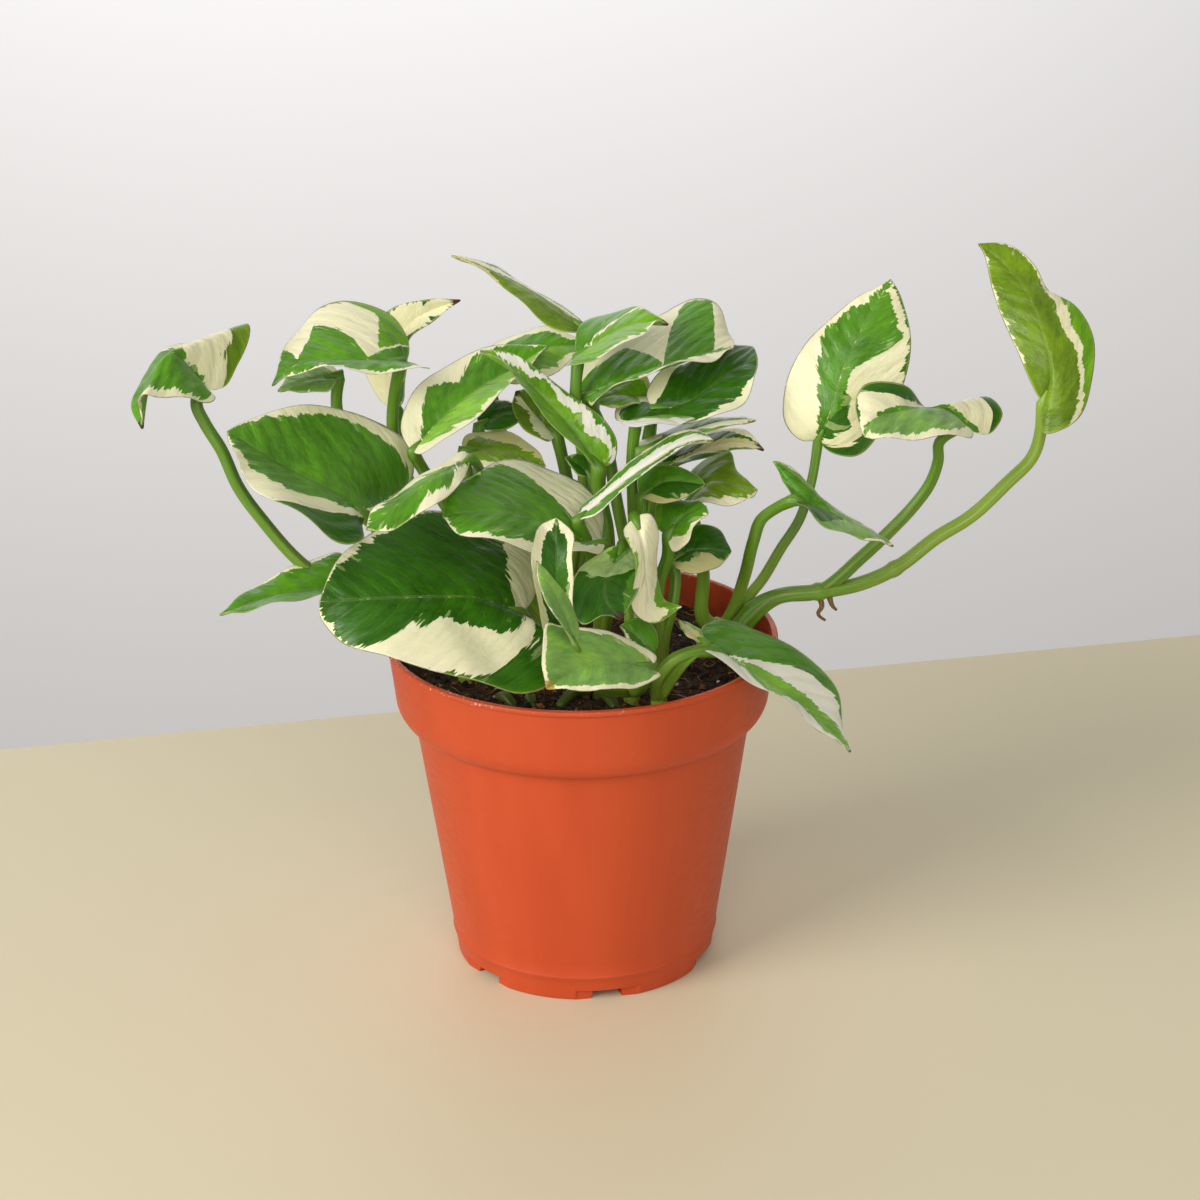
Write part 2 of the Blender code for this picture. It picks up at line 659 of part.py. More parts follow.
def right_inner():
    """Stem of the wide dark leaves and the thin ones layered under them."""
    return [
        leaf(
            stalk=[(15, 10, 88), (14, 14, 102), (10, 18, 124), (7, 20, 141), (2, 14, 155)],
            mid=[(14, 10, 162), (25, 12, 165), (35, 18, 166)],
            tip=(42, 22, 166),
            left=[(0, 18, 155), (-1, 24, 159), (6, 30, 164), (18, 36, 169), (31, 40, 174),
                (37, 38, 173), (41, 30, 168)],
            right=[(3, 8, 155), (13, 4, 163), (25, 6, 166), (36, 12, 166)],
        ),
        leaf(
            stalk=[(15, 10, 88), (16, 10, 98), (17, 12, 115), (18, 14, 140), (20, 12, 152)],
            mid=[(29, 12, 154), (41, 20, 160)],
            tip=(48, 22, 163),
            left=[(18, 14, 155), (22, 20, 160), (30, 26, 161), (40, 30, 164), (46, 30, 164)],
            right=[(24, 4, 151), (35, 2, 153), (43, 6, 155), (47, 14, 160)],
        ),
        leaf(
            stalk=[(15, 10, 88), (18, 14, 120), (19, 20, 141), (20, 22, 150)],
            mid=[(12, 19, 154)],
            tip=(3, 15, 153),
            left=[(16, 14, 153), (9, 11, 153)],
            right=[(18, 26, 157), (9, 24, 155)],
        ),
        leaf(
            stalk=[(15, 10, 88), (15, 8, 105), (14, 6, 129), (14, 6, 143), (15, 6, 150)],
            mid=[(21, 7, 152), (27, 7, 152)],
            tip=(32, 4, 152),
            left=[(10, 10, 150), (10, 16, 151), (15, 20, 153), (23, 20, 153), (30, 12, 151)],
            right=[(11, 0, 152), (17, -4, 153), (25, -3, 153)],
        ),
        leaf(
            stalk=[(15, 10, 88), (16, 6, 106), (17, 4, 129), (16, 4, 143)],
            mid=[(29, 6, 148), (39, 8, 150)],
            tip=(47, 8, 150),
            left=[(14, 10, 142), (22, 14, 145), (33, 16, 148), (42, 14, 149)],
            right=[(17, 0, 143), (26, -2, 148), (34, 0, 150), (42, 4, 150)],
        ),
        leaf(
            stalk=[(15, 10, 88), (16, 8, 99), (17, 6, 108), (19, 4, 126), (21, 4, 138)],
            mid=[(32, 4, 143), (41, 6, 145)],
            tip=(49, 4, 143),
            left=[(22, 10, 140), (30, 14, 143), (40, 14, 146), (45, 10, 146)],
            right=[(23, 0, 139), (33, -4, 144), (41, -2, 145), (46, 0, 145)],
        ),
    ]


def right_low():
    """Stem of the low leaves on the right, the round one lowest."""
    return [
        leaf(
            stalk=[(21, -12, 88), (21, -12, 96), (18, -10, 118), (16, -10, 128), (16, -10, 135)],
            mid=[(22, -9, 139), (28, -9, 139)],
            tip=(33, -9, 138),
            left=[(15, -5, 138), (17, -3, 141), (25, -5, 142), (31, -7, 140)],
            right=[(18, -15, 136), (23, -17, 136), (29, -13, 137)],
        ),
        leaf(
            stalk=[(21, -12, 88), (20, -12, 104), (21, -12, 113), (23, -13, 120), (23, -14, 126)],
            mid=[(27, -13, 131)],
            tip=(33, -14, 134),
            left=[(20, -10, 127), (20, -6, 132), (26, -6, 133), (31, -10, 134)],
            right=[(24, -18, 123), (28, -20, 126), (29, -20, 130), (33, -18, 133)],
        ),
        leaf(
            stalk=[(21, -12, 88), (22, -12, 97), (24, -11, 104), (25, -9, 110), (25, -8, 113),
                (24, -7, 116)],
            mid=[(30, -7, 119), (36, -7, 119)],
            tip=(40, -6, 118),
            left=[(24, -4, 119), (24, -1, 123), (28, 0, 123), (32, 0, 124), (37, 0, 122)],
            right=[(26, -14, 116), (30, -16, 116), (36, -12, 116)],
            thick=(1.6, 1.4),
        ),
    ]


def right_upright():
    """Stem of the tall leaf, the narrow leaf crossing its stalk and the dark one nearer in."""
    return [
        leaf(
            stalk=[(37, 13, 88), (42, 10, 93), (46, 9, 100), (49, 9, 104), (54, 9, 113), (59, 10, 121),
                (62, 12, 130), (64, 14, 142)],
            mid=[(67, 12, 151), (70, 16, 160), (76, 22, 171)],
            tip=(84, 30, 182),
            left=[(60, 14, 142), (55, 16, 147), (55, 18, 155), (61, 22, 167), (73, 28, 176)],
            right=[(68, 12, 139), (74, 12, 138), (81, 14, 145), (87, 18, 156), (89, 24, 168),
                (87, 28, 177)],
            thick=(1.9, 1.7),
        ),
        leaf(
            stalk=[(37, 13, 88), (40, 9, 93), (44, 2, 108), (46, -3, 120), (48, -5, 127),
                (52, -7, 131), (56, -10, 134)],
            mid=[(66, -9, 130), (74, -13, 127)],
            tip=(82, -16, 123),
            left=[(53, -4, 138), (51, -2, 142), (56, 0, 139), (62, 2, 132), (70, 0, 126),
                (77, -6, 124)],
            right=[(59, -18, 134), (65, -22, 130), (73, -20, 127)],
        ),
        leaf(
            stalk=[(37, 13, 88), (33, 10, 93), (33, 9, 106), (31, 8, 119), (29, 4, 128)],
            mid=[(35, 3, 135), (42, 0, 135)],
            tip=(47, -2, 134),
            left=[(29, 10, 133), (33, 14, 137), (40, 12, 140), (42, 6, 137)],
            right=[(32, -6, 132), (39, -8, 132), (45, -6, 133)],
            thick=(2.0, 1.7),
        ),
    ]


def trailing():
    """Stem that passes over the rim, with its two far right leaves."""
    return [
        leaf(
            stalk=[(40, 2, 88), (53, 4, 101), (64, 5, 102), (76, 8, 111), (83, 10, 117), (90, 12, 124),
                (94, 12, 130), (96, 11, 137), (96, 9, 143), (102, 12, 146)],
            mid=[(98, 12, 151), (92, 8, 153), (83, 4, 153), (77, 1, 152)],
            tip=(75, -1, 148),
            left=[(104, 2, 147), (94, -4, 149), (84, -6, 149), (77, -5, 149)],
            right=[(111, 16, 143), (114, 20, 147), (110, 24, 150), (103, 22, 146), (93, 18, 150),
                (86, 12, 158), (75, 6, 160), (73, 4, 157)],
            thick=(2.0, 1.4),
        ),
        leaf(
            stalk=[(40, 2, 88), (47, 4, 98), (53, 4, 101), (65, 5, 102), (76, 8, 103), (86, 12, 106),
                (97, 16, 113), (106, 18, 118), (116, 20, 127), (123, 22, 134), (125, 22, 149)],
            mid=[(127, 22, 157), (125, 26, 167), (121, 34, 177), (115, 42, 183)],
            tip=(109, 46, 187),
            left=[(123, 22, 152), (118, 26, 163), (115, 30, 169), (112, 36, 177), (111, 42, 183)],
            right=[(125, 14, 143), (129, 14, 144), (135, 18, 147), (139, 26, 156), (139, 32, 165),
                (134, 37, 173), (128, 39, 176), (124, 42, 182), (116, 46, 187)],
            thick=(2.1, 1.6),
        ),
    ]


def rim():
    """Stem of the leaf that hangs over the rim."""
    return [
        leaf(
            stalk=[(20, -32, 88), (19, -36, 93), (21, -38, 98), (24, -38, 101), (29, -36, 102),
                (34, -33, 101)],
            mid=[(40, -32, 98), (47, -32, 93), (57, -34, 86)],
            tip=(70, -38, 74),
            left=[(31, -28, 102), (32, -22, 104), (36, -18, 104), (45, -14, 99), (57, -14, 94),
                (67, -20, 84), (69, -30, 77)],
            right=[(32, -36, 103), (40, -42, 98), (51, -42, 92), (56, -42, 87), (66, -40, 78)],
        ),
        leaf(
            stalk=[(20, -32, 88), (29, -36, 102), (31, -34, 102), (32, -33, 103)],
            mid=[(28, -31, 106)],
            tip=(25, -28, 108),
            left=[(27, -34, 106)],
            right=[(31, -28, 105)],
        ),
    ]


STEMS = {
    "stem_far_left": ((-31, -10), far_left),
    "stem_left_back": ((-30, 16), left_back),
    "stem_left_front": ((-14, -10), left_front),
    "stem_centre_back": ((-8, 12), centre_back),
    "stem_centre": ((4, -4), centre),
    "stem_front": ((13, -27), front),
    "stem_right_inner": ((15, 10), right_inner),
    "stem_right_low": ((21, -12), right_low),
    "stem_right_upright": ((37, 13), right_upright),
    "stem_trailing": ((40, 2), trailing),
    "stem_rim": ((20, -32), rim),
}


def main():
    """Builds the pot, the soil and the leafy stems."""
    clear_scene()
    parts = group("potted_pothos")
    make_pot(parts, material("pot_plastic", *POT_PLASTIC))
    make_soil(parts, material("soil", *SOIL), [foot for foot, _ in STEMS.values()])
    green = material("leaf", *LEAF)
    for name, (foot, leaves) in STEMS.items():
        leafy_stem(name, foot, leaves(), parts, green)


main()
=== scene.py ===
"""Looks of a variegated pothos in a moulded plastic nursery pot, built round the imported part.

Lengths are millimetres and the meshes metres, z is up, and the pot stands on z = 0 about the z axis. A
blade is a grid: rows run from its base to its tip, columns from its right margin over the midrib to its
left one. The pattern of a blade is bands of tone, each half its own, with edges cut ragged along the veins.
"""

import math

import bpy
import numpy as np
from mathutils import Matrix


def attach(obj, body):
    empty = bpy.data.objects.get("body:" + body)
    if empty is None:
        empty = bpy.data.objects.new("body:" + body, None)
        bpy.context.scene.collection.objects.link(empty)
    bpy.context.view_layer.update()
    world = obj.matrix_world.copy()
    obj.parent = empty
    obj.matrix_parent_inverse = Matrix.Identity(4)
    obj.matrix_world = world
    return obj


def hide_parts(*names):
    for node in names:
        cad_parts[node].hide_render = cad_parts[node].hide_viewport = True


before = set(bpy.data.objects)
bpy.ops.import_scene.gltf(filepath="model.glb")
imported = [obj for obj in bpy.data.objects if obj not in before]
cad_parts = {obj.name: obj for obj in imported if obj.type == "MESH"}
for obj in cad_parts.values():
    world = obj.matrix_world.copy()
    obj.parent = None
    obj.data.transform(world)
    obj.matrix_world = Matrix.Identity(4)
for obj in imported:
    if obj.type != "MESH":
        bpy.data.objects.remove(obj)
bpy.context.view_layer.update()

MM = 0.001

# Camera, fitted to the pot's lip, collar and foot
CAMERA_PLACE = (0.0, -812.8, 431.5)
CAMERA_RIGHT = (0.99991, -0.00973, -0.00871)
CAMERA_UP = (0.01173, 0.37529, 0.92683)
CAMERA_LENS = 97.98
CAMERA_SENSOR = 36.0

# Table top and wall
TABLE_EDGE_LEFT = (-185.0, 132.0)
TABLE_EDGE_RIGHT = (211.0, 214.5)
TABLE_REACH = 1500.0
WALL_Y = 1400.0

# Pot, the sizes of the solid one
RIM_RADIUS = 52.6
POT_HEIGHT = 92.8
LIP_INNER_RADIUS = 51.2
LIP_DEPTH = 1.4
COLLAR_TOP_RADIUS = 52.3
COLLAR_LOW_RADIUS = 50.6
COLLAR_LOW_Z = 77.5
BODY_TOP_RADIUS = 45.7
BODY_TOP_Z = 71.2
FOOT_RADIUS = 35.3
WALL = 1.2
FLOOR = 1.8
RING_Z = 7.2
RING_RADIUS = 36.7
POT_COLUMNS = 480
DRAINS = 6
DRAIN_FIRST_DEG = 9.5
DRAIN_WIDTH = 17.0
DRAIN_HEIGHT = 3.0
DRAIN_DEPTH_RADIUS = 34.1
DRAIN_GAP_WIDTH = 8.0
DRAIN_GAP_HEIGHT = 2.5
DRAIN_GAP_RADIUS = 18.0

# Potting soil
SOIL_Z = 84.0
SOIL_RADIUS = 49.7
SOIL_COLUMNS = 300
GRAINS = 1700
FIBRES = 320

# Leafy stems
STEM_FOOT_Z = 66.0
STEM_TOP_Z = 91.0
STEM_RADIUS = 2.2
STALK_RADIUS = 1.6
STALK_SIDES = 18
BLADE_ROWS = 65
BLADE_COLS = 16
BLADE_THICK = 0.55
VEIN_GAP = 5.6
VEIN_SLANT = 0.8
VEIN_CURVE = 0.012

# Tones of the blades, stalks and soil
TONES = {
    "dark": "#30640C",
    "mid": "#548E1B",
    "bright": "#6EA616",
    "light": "#7FB43C",
    "grey": "#79A550",
    "mint": "#AAC784",
    "olive": "#6F9016",
    "cream": "#F0EDC6",
    "white": "#F4F3E2",
    "straw": "#CFC88C",
    "stalk": "#5D8A1C",
    "stalk_pale": "#8FB03C",
    "root": "#6E4A2C",
    "stub": "#4C5A20",
}


def linear(code):
    """An sRGB hex value as linear red, green, blue and one."""
    parts = [int(code[i : i + 2], 16) / 255 for i in (1, 3, 5)]
    return (*(c / 12.92 if c <= 0.04045 else ((c + 0.055) / 1.055) ** 2.4 for c in parts), 1.0)


def unit(a):
    """Vectors at length one."""
    return a / np.maximum(np.linalg.norm(a, axis=-1, keepdims=True), 1e-9)


def smooth(points, w):
    """A curve through the points, one cubic between each two, at shares w of the way along it."""
    p = np.array(points, float)
    d = np.maximum(np.linalg.norm(np.diff(p, axis=0), axis=1), 1e-6) ** 0.8
    t = np.concatenate([[0], np.cumsum(d)]) / d.sum()
    h = np.diff(t)
    s = np.diff(p, axis=0) / h[:, None]
    m = np.empty_like(p)
    m[1:-1] = (h[1:, None] * s[:-1] + h[:-1, None] * s[1:]) / (h[1:] + h[:-1])[:, None]
    if len(p) > 2:
        m[0] = 1.5 * s[0] - 0.5 * m[1]
        m[-1] = 1.5 * s[-1] - 0.5 * m[-2]
    else:
        m[:] = s[0]
    i = np.clip(np.searchsorted(t, w, side="right") - 1, 0, len(h) - 1)
    q = ((w - t[i]) / h[i])[:, None]
    hi = h[i][:, None]
    start = (2 * q**3 - 3 * q**2 + 1) * p[i] + (q**3 - 2 * q**2 + q) * hi * m[i]
    return start + (3 * q**2 - 2 * q**3) * p[i + 1] + (q**3 - q**2) * hi * m[i + 1]


def lattice(x, y, seed):
    """Value noise from 0 to 1: random values on a unit lattice, blended by a smooth step."""
    table = np.random.default_rng(seed).random((64, 64))
    i, j = np.floor(x).astype(int), np.floor(y).astype(int)
    fx, fy = x - i, y - j
    fx, fy = fx * fx * (3 - 2 * fx), fy * fy * (3 - 2 * fy)
    i, j = i % 64, j % 64
    k, m = (i + 1) % 64, (j + 1) % 64
    low = table[i, j] * (1 - fx) + table[k, j] * fx
    high = table[i, m] * (1 - fx) + table[k, m] * fx
    return low * (1 - fy) + high * fy


def make_object(name, verts, faces, slot):
    """A smooth mesh object from points in millimetres."""
    mesh = bpy.data.meshes.new(name)
    mesh.from_pydata((np.asarray(verts) * MM).tolist(), [], faces)
    mesh.materials.append(slot)
    mesh.shade_smooth()
    made = bpy.data.objects.new(name, mesh)
    bpy.context.scene.collection.objects.link(made)
    return made


def set_corners(mesh, name, kind, values):
    """Stores values, one for each face corner, as an attribute of colours or vectors."""
    made = mesh.attributes.new(name, kind, "CORNER")
    field = "color" if kind == "FLOAT_COLOR" else "vector"
    made.data.foreach_set(field, np.asarray(values, np.float32).ravel())


def set_uv(mesh, name, values):
    """Stores a UV map, one pair for each face corner."""
    layer = mesh.uv_layers.new(name=name)
    layer.data.foreach_set("uv", np.asarray(values, np.float32).ravel())


def belongs(piece, node):
    """The piece stands for a solid of the part, which it hides, and rides on the root body."""
    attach(piece, "root")
    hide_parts(node)


def half_blade(rib, edge, along, side, turn, share):
    """One half of a blade: at each station an arc from the midrib to the margin, turning by an angle."""
    chord = edge - rib
    width = np.maximum(np.linalg.norm(chord, axis=1), 1e-6)
    across = chord / width[:, None]
    rows = len(rib)
    mean = chord[rows // 5 : 4 * rows // 5].mean(axis=0)
    n = unit(np.cross(along, mean)) * side
    n = unit(n - across * (across @ n)[:, None])
    th = math.radians(turn) + 1e-6
    t = share[:, None, None]
    run = np.sin(th * t) * math.cos(th / 2) + (1 - np.cos(th * t)) * math.sin(th / 2)
    rise = (1 - np.cos(th * t)) * math.cos(th / 2) - np.sin(th * t) * math.sin(th / 2)
    place = (run * across + rise * n) * width[:, None] / (2 * math.sin(th / 2))
    return rib + place, width


def blade_surface(spec, number):
    """Points of a blade, with each point's distance along and out from the midrib and share of the way out.

    The plain surface is moved along its normal by a channel over the midrib, by low pillows between the
    side veins, which lean towards the tip, and by a slow wave that grows towards the margins.
    """
    x = np.linspace(0, 1, BLADE_ROWS)
    w = 0.6 * x + 0.4 * (0.5 - 0.5 * np.cos(math.pi * x))
    s = np.linspace(0, 1, BLADE_COLS + 1)
    share = 0.55 * s + 0.45 * (0.5 - 0.5 * np.cos(math.pi * s))
    base, end = np.array(spec["stalk"][-1], float), np.array(spec["tip"], float)
    rib = smooth([base, *spec["mid"], end], w)
    along = unit(end - base)
    left, left_width = half_blade(rib, smooth([base, *spec["left"], end], w), along, 1, spec["cup"][0], share)
    right, right_width = half_blade(
        rib, smooth([base, *spec["right"], end], w), along, -1, spec["cup"][1], share
    )
    points = np.concatenate([right[::-1], left[1:]]).transpose(1, 0, 2)
    t = np.concatenate([-share[::-1], share[1:]])[None, :]
    out = np.where(t < 0, right_width[:, None], left_width[:, None]) * np.abs(t)
    run = np.concatenate([[0], np.cumsum(np.linalg.norm(np.diff(rib, axis=0), axis=1))])[:, None]
    vein = run - VEIN_SLANT * out - VEIN_CURVE * out**2
    normal = unit(np.cross(np.gradient(points, axis=0), np.gradient(points, axis=1)))
    normal[0], normal[-1] = normal[1], normal[-2]
    ends = np.minimum(1, np.sin(math.pi * x) * 2.2)[:, None]
    widest = max(left_width.max(), right_width.max())
    pillow = 0.5 - 0.5 * np.cos(2 * math.pi * vein / VEIN_GAP)
    lift = 0.02 * widest * pillow * out / (out + 3) * (1 - t**4)
    lift = lift - 0.5 * np.exp(-((out / 0.9) ** 2)) * (1 - 0.7 * x[:, None])
    ripple = np.sin(2 * math.pi * (3.3 * x[:, None] + 0.37 * number + 0.4 * (t < 0)))
    lift = lift + spec["wave"] * 0.03 * widest * ripple * np.abs(t) ** 2.5
    return points + normal * (lift * ends)[..., None], normal, run + 0 * t, out, vein, t + 0 * run, x


def band_edges(half, x, out, t, ragged):
    """How far each point lies outside the edges of a half's bands, in millimetres, and the bands' tones.

    The distances are divided by how ragged the edges are, since the finish adds its unevenness to them.
    """
    tones = [linear(TONES[name]) for name in half[0::2]]
    width = out / np.maximum(np.abs(t), 1e-3)
    edges = []
    for limits in half[1::2]:
        limit = np.interp(x, np.linspace(0, 1, len(limits)), np.array(limits) / 100)
        limit = np.where(limit >= 0.999, 2.0, np.where(limit <= 0.001, -1.0, limit))
        edges.append((np.abs(t) - limit[:, None]) * np.maximum(width, 1.0) / ragged)
    while len(edges) < 3:
        edges.append(np.full_like(out, -50.0))
        tones.append(tones[-1])
    return np.stack(edges, axis=-1), tones


def blade_corners():
    """Grid places of the corners of a blade's faces: four-cornered ones, then the three-cornered at its ends."""
    rows, n = BLADE_ROWS, 2 * BLADE_COLS + 1
    i, j = np.meshgrid(np.arange(1, rows - 2), np.arange(n - 1), indexing="ij")
    i, j = i.ravel(), j.ravel()
    quads = np.stack([np.stack([i, i + 1, i + 1, i], 1), np.stack([j, j, j + 1, j + 1], 1)], -1)
    j = np.arange(n - 1)
    low, next_low = np.zeros_like(j), np.ones_like(j)
    first = np.stack([np.stack([low, next_low, next_low], 1), np.stack([j, j, j + 1], 1)], -1)
    high, last = low + rows - 2, low + rows - 1
    final = np.stack([np.stack([high, last, high], 1), np.stack([j, j, j + 1], 1)], -1)
    return quads, np.concatenate([first, final])


def make_blade(name, spec, number, slot):
    """A blade as a closed lens: two faces that meet at the margin, the lower one with a keel at the midrib."""
    points, normal, run, out, vein, t, x = blade_surface(spec, number)
    rows, n = BLADE_ROWS, 2 * BLADE_COLS + 1
    thick = BLADE_THICK * (1 - t**6)
    keel = 0.7 * np.exp(-((out / 1.1) ** 2)) * (1 - 0.75 * x[:, None])
    upper = points + normal * (thick / 2)[..., None]
    lower = points - normal * (thick / 2 + keel)[..., None]
    top = np.empty((rows, n), int)
    top[1:-1] = np.arange((rows - 2) * n).reshape(rows - 2, n)
    under = top.copy()
    inner = (rows - 2) * (n - 2)
    under[1:-1, 1:-1] = (rows - 2) * n + np.arange(inner).reshape(rows - 2, n - 2)
    poles = (rows - 2) * n + inner
    for ids in (top, under):
        ids[0], ids[-1] = poles, poles + 1
    verts = [upper[1:-1].reshape(-1, 3), lower[1:-1, 1:-1].reshape(-1, 3), points[[0, -1], BLADE_COLS]]
    quads, tris = blade_corners()
    layers = [(top, quads), (under, quads[:, ::-1]), (top, tris), (under, tris[:, ::-1])]
    faces = [f for ids, ij in layers for f in ids[ij[..., 0], ij[..., 1]].tolist()]
    blade = make_object(name, np.concatenate(verts), faces, slot)
    edges, tones = zip(*(band_edges(spec["bands"][k], x, out, t, spec["ragged"]) for k in (1, 0)))
    edges, tones = np.stack(edges), np.array(tones)
    width = out / np.maximum(np.abs(t), 1e-3)
    browned, brown_reach = spec["brown"]
    to_tip = np.linalg.norm(points - points[-1, BLADE_COLS], axis=-1)
    facts = np.stack([width * (1 - np.abs(t)), brown_reach - to_tip, out], -1)
    zone, fact, uv, tone, face = [], [], [], [], []
    for ids, ij in layers:
        a, b = ij[..., 0], ij[..., 1]
        side = (b.max(axis=1) > BLADE_COLS).astype(int)[:, None] + 0 * b
        zone.append(edges[side, a, b].reshape(-1, 3))
        fact.append(facts[a, b].reshape(-1, 3))
        signed = np.where(side == 1, 1, -1) * out[a, b]
        uv.append(np.stack([vein[a, b], signed], -1).reshape(-1, 2))
        tone.append(tones[side].reshape(-1, 4, 4))
        face.append(np.full(a.size, float(ids is under)))
    set_uv(blade.data, "veins", np.concatenate(uv))
    set_corners(blade.data, "zones", "FLOAT_VECTOR", np.concatenate(zone))
    set_corners(blade.data, "facts", "FLOAT_VECTOR", np.concatenate(fact))
    tone = np.concatenate(tone)
    for k in range(4):
        set_corners(blade.data, "tone_" + str(k + 1), "FLOAT_COLOR", tone[:, k])
    face = np.concatenate(face)
    brown = np.broadcast_to(linear(browned)[:3], (len(face), 3))
    set_corners(blade.data, "brown", "FLOAT_COLOR", np.column_stack([brown, face]))
    return blade


def rod(path, radii, facing, groove):
    """Points and faces of a round rod along a path, with rounded ends and a channel on its facing side.

    Each ring lies across the path. Its radius is cut by a bell curve of the angle from the facing side,
    between two low ridges. The facing side is carried along the path without twist, from its far end.
    """
    path, radii = np.asarray(path, float), np.asarray(radii, float)
    ahead = unit(np.gradient(path, axis=0))
    across = np.empty_like(path)
    now = np.asarray(facing, float)
    for k in range(len(path) - 1, -1, -1):
        now = unit(now - ahead[k] * (now @ ahead[k]))
        across[k] = now
    beside = np.cross(ahead, across)
    turn = np.arange(STALK_SIDES) * 2 * math.pi / STALK_SIDES
    away = np.degrees(np.minimum(turn, 2 * math.pi - turn))
    cut = 0.34 * np.exp(-((away / 20) ** 2)) - 0.12 * np.exp(-(((away - 38) / 13) ** 2))
    shape = 1 - np.asarray(groove, float)[:, None] * cut
    r = radii[:, None] * shape
    rings = path[:, None] + r[..., None] * (
        np.cos(turn)[None, :, None] * across[:, None] + np.sin(turn)[None, :, None] * beside[:, None]
    )
    count = len(path)
    ends = [path[0] - ahead[0] * radii[0] * 0.5, path[-1] + ahead[-1] * radii[-1] * 0.5]
    verts = np.concatenate([rings.reshape(-1, 3), ends])
    i, j = np.meshgrid(np.arange(count - 1), np.arange(STALK_SIDES), indexing="ij")
    k = (j + 1) % STALK_SIDES
    faces = np.stack([i * STALK_SIDES + j, i * STALK_SIDES + k, (i + 1) * STALK_SIDES + k,
        (i + 1) * STALK_SIDES + j], -1).reshape(-1, 4)
    j = np.arange(STALK_SIDES)
    k = (j + 1) % STALK_SIDES
    low = np.stack([k, j, np.full_like(j, count * STALK_SIDES)], -1)
    top = (count - 1) * STALK_SIDES
    high = np.stack([top + j, top + k, np.full_like(j, count * STALK_SIDES + 1)], -1)
    run = np.concatenate([[0], np.cumsum(np.linalg.norm(np.diff(path, axis=0), axis=1))])
    away = np.broadcast_to(away, (count, STALK_SIDES)).reshape(-1)
    uv = np.concatenate([np.stack([away, np.repeat(run, STALK_SIDES)], -1), [[90, 0], [90, run[-1]]]])
    return verts, [faces, low, high], uv


def join_rods(name, rods, slot):
    """One mesh of several rods, each with its own two tones, from its foot to its head."""
    verts, faces, uv, foot, head = [], [], [], [], []
    start = 0
    for (points, groups, along), tones in rods:
        length = along[:, 1].max()
        verts.append(points)
        for part in groups:
            faces.extend((part + start).tolist())
            uv.append(along[part].reshape(-1, 2))
            foot.append(np.broadcast_to(linear(TONES[tones[0]])[:3] + (length,), (part.size, 4)))
            head.append(np.broadcast_to(linear(TONES[tones[1]]), (part.size, 4)))
        start += len(points)
    made = make_object(name, np.concatenate(verts), faces, slot)
    set_uv(made.data, "along", np.concatenate(uv))
    set_corners(made.data, "foot_tone", "FLOAT_COLOR", np.concatenate(foot))
    set_corners(made.data, "head_tone", "FLOAT_COLOR", np.concatenate(head))
    return made


def stalk_rod(spec):
    """A leaf stalk, wide at its sheathed foot, with a channel that fades before the bend under the blade."""
    run = spec["stalk"]
    base = np.array(run[-1], float)
    length = np.linalg.norm(np.diff(np.array(run, float), axis=0), axis=1).sum()
    count = int(np.clip(length / 1.3, 14, 90))
    x = np.linspace(0, 1, count)
    line = smooth(run, x)
    ahead = smooth([base, *spec["mid"], spec["tip"]], np.array([0.02, 0.06]))
    rib = unit(ahead[1] - base)
    reach = min(4.0, 0.25 * np.linalg.norm(np.array(spec["tip"], float) - base))
    line = np.concatenate([line, base + rib * reach * np.array([[0.5], [1.0]])])
    left, right = np.array(spec["left"][0], float), np.array(spec["right"][0], float)
    facing = np.cross(rib, unit(left - right))
    far = x * length
    radii = np.interp(x, [0, 1], spec["thick"])
    radii = radii * (1 + 0.30 * np.exp(-far / 7)) * (1 + 0.12 * np.exp(-(((length - far) / 4) ** 2)))
    for place, size in spec["joints"]:
        radii = radii * (1 + size * np.exp(-(((far - place * length) / 1.1) ** 2)))
    radii = np.append(radii, [0.62 * radii[-1], 0.3 * radii[-1]])
    groove = np.append(np.clip((1 - x) * 6, 0, 1) * spec["groove"], [0, 0])
    return rod(line, radii, facing, groove)


def leaf(stalk, mid, tip, left, right, bands, thick=(STALK_RADIUS, STALK_RADIUS), cup=(0, 0),
        brown=("#5A3A1E", 0.0), ragged=1.0, wave=1.0, groove=0.8, joints=(), tones=("stalk_pale", "stalk")):
    """One leaf: stalk, midrib and margins as points, and its bands, the left half's first."""
    return {
        "stalk": stalk, "mid": mid, "tip": tip, "left": left, "right": right, "bands": bands,
        "thick": thick, "cup": cup, "brown": brown, "ragged": ragged, "wave": wave, "groove": groove, "joints": joints,
        "tones": tones,
    }


def node(tree, kind, links=(), **settings):
    """Adds a node: settings by name, values of its sockets as in_0 and so on, and links to its sockets."""
    made = tree.nodes.new(kind)
    for name, value in settings.items():
        if name.startswith("in_"):
            made.inputs[int(name[3:])].default_value = value
        else:
            setattr(made, name, value)
    for index, source in links:
        tree.links.new(source, made.inputs[index])
    return made


def new_material(name):
    """An empty Principled material: the material, its node tree and its shader."""
    made = bpy.data.materials.new(name)
    made.use_nodes = True
    return made, made.node_tree, made.node_tree.nodes["Principled BSDF"]


def math_node(tree, operation, a, b=0.0):
    """The result of a sum of one or two values, each a socket or a number."""
    made = tree.nodes.new("ShaderNodeMath")
    made.operation = operation
    for socket, value in zip(made.inputs, (a, b)):
        if isinstance(value, (int, float)):
            socket.default_value = value
        else:
            tree.links.new(value, socket)
    return made.outputs[0]


def ramp(tree, value, low, high, start=0.0, end=1.0):
    """A smooth step of a value from low to high, giving start to end."""
    made = node(tree, "ShaderNodeMapRange", [(0, value)], interpolation_type="SMOOTHSTEP")
    for socket, number in zip(made.inputs[1:5], (low, high, start, end)):
        socket.default_value = number
    return made.outputs[0]


